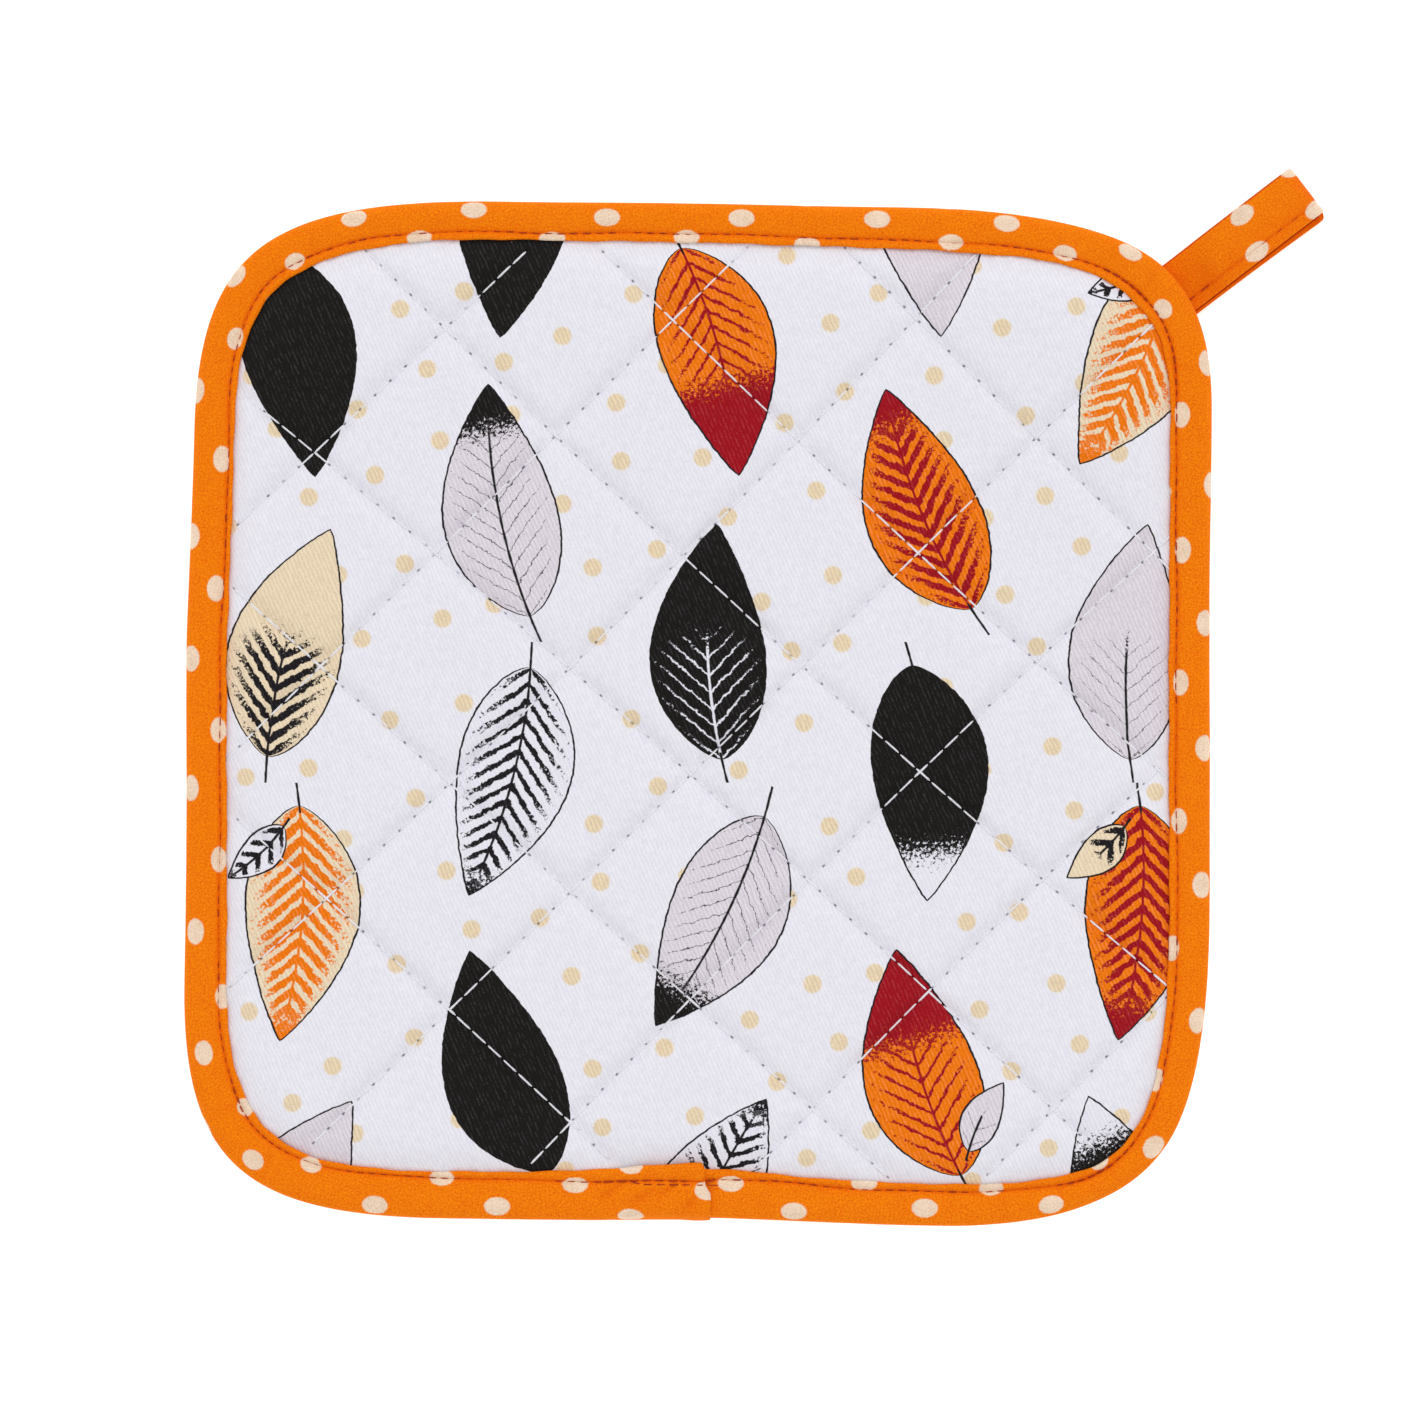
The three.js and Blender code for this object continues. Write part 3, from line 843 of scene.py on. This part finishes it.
# The binding.
# One length of orange cotton tape, cut on the bias, its edges turned in, folded round
# the quilt's edge and sewn through. Its end is turned under and laps over its start.
CLOTH = 0.36
BINDING_TOP = 5.3
LAP_LENGTH = 15.1
LAP_RISE = 0.75
TURNED_UNDER = 6.0
END_SLANT = 1.1
EDGE_STITCH_PITCH = 2.5
BINDING_CREASES = (
    {"run": 727, "inward": 5.6, "length": 3.0, "width": 0.5, "turn": 35, "depth": 0.42},
    {"run": 733, "inward": 4.6, "length": 3.2, "width": 0.6, "turn": 28, "depth": 0.4},
    {"run": 738, "inward": 6.0, "length": 2.4, "width": 0.5, "turn": 40, "depth": 0.42},
    {"run": 742.5, "inward": 3.6, "length": 3.0, "width": 0.6, "turn": 52, "depth": 0.34},
    {"run": 84, "inward": 4.4, "length": 2.6, "width": 0.7, "turn": 70, "depth": 0.16},
    {"run": 96, "inward": 4.0, "length": 2.6, "width": 0.7, "turn": 96, "depth": 0.16},
    {"run": 92, "inward": 5.2, "length": 8.0, "width": 0.35, "turn": 0, "depth": 0.3},
    {"run": 262, "inward": 5.4, "length": 2.4, "width": 0.6, "turn": 66, "depth": 0.2},
    {"run": 263, "inward": 7.2, "length": 8.0, "width": 0.35, "turn": 1, "depth": 0.24},
    {"run": 285, "inward": 7.5, "length": 6.0, "width": 0.35, "turn": -3, "depth": 0.3},
    {"run": 271, "inward": 7.9, "length": 2.0, "width": 0.4, "turn": 25, "depth": 0.25},
    {"run": 284, "inward": 5.2, "length": 2.5, "width": 0.6, "turn": 110, "depth": 0.2},
    {"run": 455, "inward": 4.8, "length": 2.6, "width": 0.7, "turn": 75, "depth": 0.16},
    {"run": 474, "inward": 5.0, "length": 2.4, "width": 0.7, "turn": 100, "depth": 0.16},
    {"run": 640, "inward": 5.4, "length": 2.8, "width": 0.7, "turn": 80, "depth": 0.18},
    {"run": 656, "inward": 5.2, "length": 2.6, "width": 0.6, "turn": 112, "depth": 0.18},
)


def curve_through(points, steps):
    """A smooth line through points with some steps for each stretch, and its run."""
    padded = np.vstack([2 * points[0] - points[1], points, 2 * points[-1] - points[-2]])
    t = np.linspace(0, 1, steps, endpoint=False)[:, None]
    line = []
    for index in range(1, len(padded) - 2):
        before, start, end, after = padded[index - 1:index + 3]
        straight = 2 * start + (end - before) * t
        squared = (2 * before - 5 * start + 4 * end - after) * t**2
        cubed = (3 * start - before - 3 * end + after) * t**3
        line.append((straight + (squared + cubed)) / 2)
    line = np.vstack(line + [points[-1:]])
    return line, run_along(line)


def square_to(line):
    """The direction square to a line, on its right, at each of its points."""
    along = np.gradient(line, axis=0)
    along /= np.linalg.norm(along, axis=1)[:, None]
    return np.stack([along[:, 1], -along[:, 0]], axis=1)


def skin(line, thickness):
    """The closed section of a cloth whose middle runs along a line."""
    out = square_to(line) * thickness / 2
    return np.concatenate([line + out, (line - out)[::-1]])


def tube_faces(rings, size):
    """Faces of a closed skin through rings of points, with a cap across either end."""
    index = np.arange(rings * size).reshape(rings, size)
    beside = np.roll(index, -1, axis=1)
    quads = np.stack([index[:-1], index[1:], beside[1:], beside[:-1]], axis=2).reshape(-1, 4).tolist()
    for ring in (index[0].tolist(), index[-1].tolist()):
        for low in range(size // 2 - 1):
            quads.append([ring[low], ring[low + 1], ring[size - 2 - low], ring[size - 1 - low]])
    return quads


def lap_rise(run):
    """How far the tape is raised where its end lies over its start."""
    return ease(0.0, LAP_RISE, (run - EDGE["length"] + 8) / 9)


def binding_section(lap, sewn, hole, rise):
    """The folded tape across: from its turned-in upper edge, round the mat's edge, to
    its turned-in lower edge, as distance inward and height."""
    top = BINDING_TOP - CLOTH / 2 + rise
    inner = EDGE_TOP + CLOTH / 2 + 0.03 + rise
    lip = lap - sewn
    shoulder = min(0.3 * lip, 0.45)
    under = CLOTH / 2
    line = np.array([
        (3.6, inner), (sewn - 0.7, inner - 0.1), (sewn, inner - SEWN_DIP), (sewn + shoulder, inner - 0.28),
        (lap - 0.3, inner + 0.04), (lap - CLOTH / 2 + 0.02, (inner + top) / 2),
        (sewn + 0.86 * lip, top - 0.08), (sewn + 0.6 * lip, top), (sewn + shoulder, top - 0.3),
        (sewn, top - 0.58 - 0.1 * hole), (sewn - 0.45, top - 0.38), (sewn - 1.1, top - 0.18),
        (0.68 * sewn, top - 0.04), (0.45 * sewn, top), (1.5, top - 0.28),
        (0.55, 4.1 + rise / 2), (0.2 - rise / 2, 2.8), (0.45 - rise / 2, 1.4), (1.3, 0.45), (2.8, under),
        (sewn - 1.0, under), (sewn, under + 0.22 + 0.06 * hole), (sewn + 0.8, under + 0.02),
        (LOWER_LAP - 0.4, under + 0.03), (LOWER_LAP - CLOTH / 2, 0.39), (LOWER_LAP - 0.5, 0.6), (4.4, 0.6),
    ])
    return curve_through(line, 2)


# The point of binding_section's line that lies in the row of stitches on the upper lap.
SEAM_POINT = 18


def crease_depth(run, inward):
    """How far the tape's creases sink at a place along and across it."""
    depth = np.zeros(len(inward))
    for crease in BINDING_CREASES:
        turn = math.radians(crease["turn"])
        along, across = run - crease["run"], inward - crease["inward"]
        ahead = along * math.cos(turn) + across * math.sin(turn)
        aside = across * math.cos(turn) - along * math.sin(turn)
        trough = np.exp(-((aside / crease["width"]) ** 2))
        ridge = 0.4 * np.exp(-(((aside - 1.0) / crease["width"]) ** 2))
        depth += crease["depth"] * (ridge - trough) * np.exp(-((ahead / crease["length"]) ** 2))
    return depth


TAPE_DOT_LONG = 5.1
TAPE_DOT_WIDE = 3.4
TAPE_DOT_ALONG = 26.0
TAPE_DOT_ACROSS = 5.0
TAPE_DOT_FIRST = 1.6
TAPE_DOT_DRIFT = 1.2
TAPE_DRIFT_LENGTH = 290.0
EDGE_TO_TOP = 1.3


def bias_dots(length):
    """Dots on the binding, in staggered rows that drift across it, as cloth cut on the bias
    has them."""
    random = np.random.default_rng(8)
    places = []
    for number in range(-2, 3):
        for along in np.arange(4 + TAPE_DOT_ALONG / 2 * (number % 2), length, TAPE_DOT_ALONG):
            drift = TAPE_DOT_DRIFT * math.sin(2 * math.pi * along / TAPE_DRIFT_LENGTH)
            across = EDGE_TO_TOP + TAPE_DOT_FIRST + number * TAPE_DOT_ACROSS + drift
            places.append((along + random.uniform(-1.5, 1.5), across + random.uniform(-0.8, 0.8)))
    return places


def add_place(piece, name, places, centres=((0.0, 0.0),)):
    """A map that holds each corner's place less that of the centre nearest to its face, in
    units of 100 mm. With the one centre at zero it holds the places as they are."""
    mesh = piece.data
    corners = face_corners(mesh)
    face = np.repeat(np.arange(len(mesh.polygons)), [side.loop_total for side in mesh.polygons])
    middles = np.zeros((len(mesh.polygons), 2))
    np.add.at(middles, face, places[corners])
    middles /= np.bincount(face)[:, None]
    centres = np.array(centres)
    stretch = np.array([TAPE_DOT_WIDE / TAPE_DOT_LONG, 1.0])
    nearest = nearest_of(centres * stretch, middles * stretch)
    offset = (places[corners] - centres[nearest][face]) / 100
    mesh.uv_layers.new(name=name).data.foreach_set("uv", offset.ravel())


def make_binding():
    count = len(EDGE["run"])
    step = EDGE["length"] / count
    total = count + round(LAP_LENGTH / step)
    rings, uv, seam = [], [], []
    for station in range(total):
        run = station * step
        index = station % count
        lap, sewn = EDGE["lap"][index], EDGE["sewn"][index]
        if run < LAP_LENGTH + 1:
            lap -= end_lap_wider(EDGE["point"][index][None])[0]
        hole = 0.5 + 0.5 * math.cos(2 * math.pi * run / EDGE_STITCH_PITCH)
        line, across = binding_section(lap, sewn, hole, lap_rise(run))
        across = across[np.argmin(line[:, 0])] - across
        to_end = (total - 1 - station) * step
        layers = ease(2.0, 1.0, 2 * to_end / TURNED_UNDER - 1) * ease(0.55, 1.0, to_end / 1.2)
        section = skin(line, CLOTH * layers)
        upper = np.clip((section[:, 1] - 2.5) / 2, 0, 1)
        creased = crease_depth(run, section[:, 0]) * upper
        section[:, 0] -= EDGE["fold_out"][index] * np.clip((4 - section[:, 0]) / 3, 0, 1)
        section[:, 1] = np.maximum(section[:, 1] + creased, 0)
        inward = EDGE["inward"][index]
        slant = ease(0.0, END_SLANT, (section[:, 0] - 5) / 2) * ease(1.0, 0.0, to_end / 4)
        onward = [inward[1], -inward[0]]
        flat = EDGE["point"][index] + np.outer(section[:, 0], inward) - np.outer(slant, onward)
        rings.append(np.column_stack([flat, section[:, 1]]))
        width = np.concatenate([across, across[::-1]])
        uv.append(np.column_stack([np.full(len(width), run), width]))
        from_seam = width - across[SEAM_POINT]
        # Painted shade in the tape's creases, more where they sink further, kept in the Seam map beside the
        # distance from the seam.
        painted_shade = np.clip(-4 * creased, 0, 2)
        seam.append(np.column_stack([from_seam, painted_shade]))
    points = np.concatenate(rings)
    uv = np.concatenate(uv)
    waver = uneven(points[:, :2], 9, 11) * 0.05 + uneven(points[:, :2], 31, 12) * 0.08
    upper = np.clip((points[:, 2] - 1.5) / 3, 0, 1)
    points[:, 2] += waver * upper + lift_at(points[:, :2])
    piece = add_mesh("binding_tape", points, tube_faces(len(rings), len(rings[0])), uv / 100)
    add_place(piece, "Dot", uv, bias_dots(EDGE["length"] + LAP_LENGTH))
    add_place(piece, "Seam", np.concatenate(seam))
    weld(piece, 1e-7)
    return piece


TAPE_WEAVE = 0.5


def tape_cotton(name):
    """Orange bias-cut cotton with cream dots, with painted shade along its seam and where the Seam map asks
    for it.
    """
    material, shader, start = new_cloth(name, 0.88, 0.0)
    shader.inputs["Specular IOR Level"].default_value = 0.08
    maps = [start.node("UVMap", uv_map=kind) for kind in ("Cloth", "Dot", "Seam")]
    along, across, aside, above, from_seam, painted_shade = [uv.part(axis) * 100 for uv in maps for axis in (0, 1)]
    patch = noise(start, along, across, 0.3, 2.0)
    wobble = noise(start, along, across, 1.3, 2.0) - 0.5
    from_dot = ((aside / (TAPE_DOT_LONG / 2)) ** 2 + (above / (TAPE_DOT_WIDE / 2)) ** 2) ** 0.5
    dots = 1 - (from_dot + wobble * 0.14).between(0.9, 1.08)
    warp, weft = along + across, along - across
    threads = [
        noise(start, first * 3.4, second * 1.5, 1.0, 1.0)
        for first, second in ((warp, weft), (weft + 50, warp))
    ]
    turns = 2 * math.pi / TAPE_WEAVE
    weave = (warp * turns).sin() * (weft * turns).sin()
    grain = (threads[0] + threads[1]) * 0.5 + weave * 0.06
    orange = (patch * 0.1 + grain * 0.95).between(0.38, 0.68).mix(srgb(229, 99, 2), srgb(251, 141, 9))
    # Painted shade from the Seam map: a deeper orange, and a dark brown-red line where the most shade is
    # asked for.
    orange = (painted_shade * 0.3).clamped().mix(orange, srgb(226, 84, 2))
    orange = (painted_shade.between(2.2, 4.0) * 0.75).mix(orange, srgb(130, 36, 2))
    # Painted shade along the seam: a broad deeper orange band and a darker line in its crease.
    beside_seam = abs(from_seam) + wobble * 0.6
    near_seam = 1 - beside_seam.between(0.0, 1.0)
    orange = (near_seam * 0.4).mix(orange, srgb(222, 76, 2))
    crease = 1 - beside_seam.between(0.08, 0.4)
    orange = (crease * 0.16).mix(orange, srgb(196, 66, 0))
    cream = (grain * 0.75 + patch * 0.25).between(0.36, 0.64).mix(srgb(222, 192, 164), srgb(246, 223, 199))
    colour = dots.mix(orange, cream)
    # Painted shade on the dots where they lie in the seam's crease.
    colour = (crease * dots * 0.3).mix(colour, srgb(226, 150, 110), "MULTIPLY")
    finish_cloth(shader, colour, grain * 2, 0.05)
    return material


binding = make_binding()
binding.data.materials.append(tape_cotton("binding_cotton"))
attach(binding, "root")
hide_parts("binding")

# The edge stitching.
# Rust sewing thread, one row through both laps of the binding, a little in from their
# edges. The end of the row is sewn over its start, on the lapped end of the tape.
EDGE_THREAD = 0.28
EDGE_STITCH_LENGTH = 2.3
EDGE_STITCH_DIP = 0.35
EDGE_STITCH_SUNK = 0.19
EDGE_SHARE_LEFT_FREE = 0.08
ROW_OVERLAP_FROM = -7.0
ROW_OVERLAP_TO = 17.0
ROW_OVERLAP_INWARD = 6.9
LAPPED_STITCHES = 9
LAPPED_STITCH_SUNK = 0.05
rust_thread = thread_material("rust_thread", srgb(188, 64, 8), srgb(136, 36, 4))
stitch_model = shape_stitch("stitch_model", EDGE_STITCH_LENGTH, EDGE_THREAD, EDGE_STITCH_DIP)
stitch_model.data.materials.append(rust_thread)


def edge_stitches(side):
    """Starts and ends of the stitches on the upper (side 1) or lower (-1) lap."""
    spots = []
    for run in np.arange(ROW_OVERLAP_FROM, EDGE["length"] + ROW_OVERLAP_TO, EDGE_STITCH_PITCH):
        around = (run % EDGE["length"]) / EDGE["length"] * len(EDGE["run"])
        low = int(around) % len(EDGE["run"])
        high = (low + 1) % len(EDGE["run"])
        share = around - int(around)
        point, inward, sewn = (
            EDGE[key][low] * (1 - share) + EDGE[key][high] * share for key in ("point", "inward", "sewn")
        )
        beside = max(sewn - ROW_OVERLAP_INWARD, 0.0) if run > EDGE["length"] else 0.0
        sewn -= beside
        on_top = run + EDGE["length"] if run < LAP_LENGTH else run
        lapped = run < ROW_OVERLAP_TO or run > EDGE["length"] + ROW_OVERLAP_FROM
        above = 0.12 * lapped + 0.4 * min(beside, 1.0)
        height = BINDING_TOP - 0.5 + lap_rise(on_top) + above if side > 0 else 0.2
        spot = point + inward * sewn
        spots.append((*spot, height + lift_at(spot[None])[0]))
    spots = np.array(spots)
    return spots[:-1], spots[1:]


for side, name in ((1, "edge_stitching_face"), (-1, "edge_stitching_back")):
    starts, ends = edge_stitches(side)
    number = np.arange(len(starts))
    lapped = (number < LAPPED_STITCHES) | (number >= len(starts) - LAPPED_STITCHES)
    sunk = np.where(lapped, LAPPED_STITCH_SUNK, EDGE_STITCH_SUNK)
    stitches = lay_stitches(
        name, stitch_model, starts, ends, ups=(0, 0, side), sunk=sunk, left_free=EDGE_SHARE_LEFT_FREE
    )
    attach(stitches, "root")

# The hanging loop.
# A strip of the same cotton, its edges turned in and sewn together along one side,
# folded in two and fixed under the binding at the back right corner.
LOOP_WIDTH = 10.9
LOOP_REACH = 32.0
LOOP_TUCKED = 7.0
LOOP_THICKNESS = 1.0
LOOP_MOUTH = 4.8
LOOP_GAP = 0.3
LOOP_CLOTH = 0.24
LOOP_UPPER_SHIFT = -0.45
LOOP_LOWER_SHIFTS = {"at the mat": 0.35, "at the fold": 0.9}
LOOP_SEWN_ACROSS = LOOP_WIDTH / 2 - 2.3
LOOP_STITCH_PITCH = 3.7
LOOP_STITCH_SUNK = 0.09
LOOP_DOT_ALONG = 13.5
LOOP_DOT_ACROSS = 6.2
LOOP_DOT_STAGGER = 6.5
LOOP_DOTS = (
    {"past_fold": 15.1, "across": -3.7},
    {"past_fold": 17.1, "across": 3.7},
    {"past_fold": 2.7, "across": 4.2},
    {"past_fold": 1.7, "across": -5.2},
)


def hidden_dots(length, low, high):
    """Dots on the part of a tape that the front does not show, in rows along it."""
    random = np.random.default_rng(5)
    places = []
    for number, across in enumerate(np.arange(low, high, LOOP_DOT_ACROSS)):
        for along in np.arange(4 + LOOP_DOT_STAGGER * (number % 2), length, LOOP_DOT_ALONG):
            places.append((along + random.uniform(-1.5, 1.5), across + random.uniform(-0.8, 0.8)))
    return places


def loop_line():
    """The loop from the side: along the table, round the fold and back to the mat."""
    low = LOOP_THICKNESS / 2
    high = low + LOOP_THICKNESS + LOOP_GAP
    radius = (LOOP_MOUTH + LOOP_THICKNESS) / 2
    centre = LOOP_REACH - radius - low
    turn = np.radians(np.arange(-75, 90, 15))
    crest = low + 2 * radius
    line = [(-LOOP_TUCKED, low), (0, low), (8, low), (18, low), (centre, low)]
    for a in turn:
        out = np.cos(a) ** (0.25 if a < 0 else 1)
        line.append((centre + radius * out, low + radius + radius * np.sin(a)))
    line += [(centre, crest), (centre - 5, crest + 0.2), (17.5, crest + 0.2), (12.5, crest)]
    line += [(8.5, crest - 1.0), (5.5, high + 1.4), (3, high + 0.3), (0.5, high), (-LOOP_TUCKED, high)]
    return curve_through(np.array(line, dtype=float), 5)


def loop_section():
    """The folded strip across: both edges are turned in and meet at the sewn side."""
    half, inner = LOOP_WIDTH / 2, LOOP_CLOTH / 2 + 0.01
    level = LOOP_THICKNESS / 2 - LOOP_CLOTH / 2 - 0.04
    sewn = LOOP_SEWN_ACROSS
    upper = [
        (-half + 1.6, inner), (0, inner), (sewn, inner), (half - 0.9, inner + 0.01),
        (half - 0.4, inner + 0.03), (half - 0.13, (inner + level) / 2), (half - 0.35, level - 0.02),
        (half - 0.57, level), (half - 0.78, level + 0.01), (half - 1.0, level + 0.02),
        (half - 1.4, level + 0.01), (sewn + 0.5, level - 0.03), (sewn, level - 0.12),
        (sewn - 0.5, level - 0.03), (sewn - 1.6, level + 0.02),
        (-half + 2.2, level + 0.02), (-half + 0.9, level), (-half + 0.25, level * 0.6),
    ]
    return curve_through(np.array(upper + [(-half + 0.13, 0)] + [(x, -z) for x, z in upper[::-1]]), 2)


def loop_frame():
    """The loop's middle line, its outward directions, its run and its sideways shift,
    by which the lower leg shows beside the upper one."""
    line, runs = loop_line()
    fold = runs[np.argmax(line[:, 0])]
    near, far = LOOP_LOWER_SHIFTS.values()
    lower = near + (far - near) * np.clip((runs - LOOP_TUCKED) / (fold - LOOP_TUCKED), 0, 1) ** 2
    shift = lower + (LOOP_UPPER_SHIFT - lower) * (0.5 + 0.5 * np.tanh((runs - fold + 1.2) / 0.8))
    return line, square_to(line), runs, shift


def loop_place(point, outward, across, out):
    """Places on the loop: across its width, and out from its middle line."""
    sideways = np.array([LOOP_DIRECTION[1], -LOOP_DIRECTION[0]])
    reach = point[0] + out * outward[0]
    flat = LOOP_ROOT + np.outer(reach, LOOP_DIRECTION) + np.outer(across, sideways)
    return np.column_stack([flat, point[1] + out * outward[1]])


def make_loop():
    across_line, width = loop_section()
    section = skin(across_line, LOOP_CLOTH)
    width = np.concatenate([width, width[::-1]])
    width -= width.max() / 2
    rings, uv, sideways = [], [], []
    line, outwards, runs, skews = loop_frame()
    for point, outward, run, skew in zip(line, outwards, runs, skews):
        rings.append(loop_place(point, outward, section[:, 0] + skew, section[:, 1]))
        sideways.append(section[:, 0] + skew)
        uv.append(np.column_stack([np.full(len(width), run), width]))
    uv, sideways = np.concatenate(uv), np.concatenate(sideways)
    piece = add_mesh("loop_tape", np.concatenate(rings), tube_faces(len(rings), len(width)), uv / 100)
    fold = runs[np.argmax(line[:, 0])]
    shown = [(fold + dot["past_fold"], -(LOOP_WIDTH / 2 + dot["across"])) for dot in LOOP_DOTS]
    under = [(run, across) for run, across in hidden_dots(runs[-1], -5.0, 0.0) if run < fold - 6]
    add_place(piece, "Dot", uv, shown + under + hidden_dots(runs[-1], 5.3, 6.0))
    from_seam = np.abs(np.abs(uv[:, 1]) - LOOP_WIDTH / 2 - LOOP_SEWN_ACROSS)
    # Painted shade for the Seam map: at the fold, at the root beside the mat, near the sewn edge, over the
    # lower leg with a dark line beside the upper leg's edge, and on the turned edges by the fold.
    near_fold = 2.4 * np.exp(-(((uv[:, 0] - fold) / 3) ** 2))
    near_mat = 1.5 * np.exp(-(((runs[-1] - LOOP_TUCKED - uv[:, 0]) / 2.5) ** 2))
    near_sewn_edge = 0.6 * np.clip((LOOP_WIDTH / 2 - 1 - from_seam) / 3, 0, 1)
    painted_shade = np.maximum(np.maximum(near_fold, near_mat), near_sewn_edge)
    lower_leg = (uv[:, 0] < fold - 1.5) & (uv[:, 1] > 0)
    upper_edge = LOOP_WIDTH / 2 + LOOP_UPPER_SHIFT
    beside = np.abs(sideways[lower_leg] - upper_edge) / 0.2
    painted_shade[lower_leg] = 0.9 + 3.1 * np.clip(1.7 - beside, 0, 1)
    turned = np.tile(section[:, 0] < 0.25 - LOOP_WIDTH / 2, len(runs))
    painted_shade[turned & (uv[:, 0] > fold - 1)] = 3.3
    add_place(piece, "Seam", np.column_stack([from_seam + 0.1, painted_shade]))
    weld(piece, 1e-7)
    return piece


def loop_stitches(side):
    """Starts, ends and outward directions of the stitches on one face of the strip."""
    line, outwards, runs, skews = loop_frame()
    spots, ups = [], []
    for run in np.arange(LOOP_TUCKED - 1.5, runs[-1] - LOOP_TUCKED + 1.5, LOOP_STITCH_PITCH):
        point, outward = (
            [np.interp(run, runs, part[:, axis]) for axis in (0, 1)] for part in (line, outwards)
        )
        across = np.array([LOOP_SEWN_ACROSS + np.interp(run, runs, skews)])
        spots.append(loop_place(point, outward, across, np.array([side * (LOOP_THICKNESS / 2 - 0.2)]))[0])
        ups.append(side * np.array([*(outward[0] * LOOP_DIRECTION), outward[1]]))
    spots, ups = np.array(spots), np.array(ups)
    return spots[:-1], spots[1:], ups[:-1] + ups[1:]


loop = make_loop()
loop.data.materials.append(tape_cotton("loop_cotton"))
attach(loop, "root")
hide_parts("hanging_loop")
for side, name in ((1, "loop_stitching_outside"), (-1, "loop_stitching_inside")):
    starts, ends, ups = loop_stitches(side)
    stitches = lay_stitches(
        name, stitch_model, starts, ends, ups, sunk=LOOP_STITCH_SUNK, left_free=EDGE_SHARE_LEFT_FREE
    )
    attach(stitches, "root")
bpy.data.objects.remove(stitch_model)

# The table, the light and the camera.
# A plain white table, a broad soft light from the back and above, and a camera that
# looks straight down from far enough away for the mat to keep its shape.
TABLE_GLOW = 0.45
ROOM_LIGHT = 0.908
BACK_LIGHT = 0.52
bpy.ops.mesh.primitive_plane_add(size=4, location=(0, 0, 0))
table = bpy.context.object
table.name = "table"
white = bpy.data.materials.new("table_white")
white.use_nodes = True
table_shader = white.node_tree.nodes["Principled BSDF"]
table_shader.inputs["Base Color"].default_value = (0.97, 0.97, 0.97, 1)
table_shader.inputs["Roughness"].default_value = 0.9
table_shader.inputs["Emission Color"].default_value = (1, 1, 1, 1)
table_shader.inputs["Emission Strength"].default_value = TABLE_GLOW
table.data.materials.append(white)

world = bpy.data.worlds.new("soft_room")
bpy.context.scene.world = world
world.use_nodes = True
world.node_tree.nodes["Background"].inputs["Color"].default_value = (1, 1, 1, 1)
world.node_tree.nodes["Background"].inputs["Strength"].default_value = ROOM_LIGHT

bpy.ops.object.light_add(type="SUN", location=(0, 1, 1), rotation=(math.radians(-50), 0, math.radians(-7)))
back_light = bpy.context.object
back_light.name = "back_light"
back_light.data.angle = math.radians(24)
back_light.data.energy = BACK_LIGHT

VIEW_CENTRE = (2.15, 0.49)
VIEW_WIDTH = 277.3
VIEW_LEVEL = 5
LENS = 100.0
SENSOR = 36.0
CAMERA_HEIGHT = VIEW_WIDTH * LENS / SENSOR + VIEW_LEVEL
bpy.ops.object.camera_add(
    location=(VIEW_CENTRE[0] * MM, VIEW_CENTRE[1] * MM, CAMERA_HEIGHT * MM),
    rotation=(0, 0, 0),
)
camera = bpy.context.object
camera.name = "camera"
camera.data.lens = LENS
camera.data.sensor_width = SENSOR
camera.data.clip_start = 0.05
camera.data.clip_end = 20
bpy.context.scene.camera = camera
bpy.context.scene.view_settings.view_transform = "Standard"
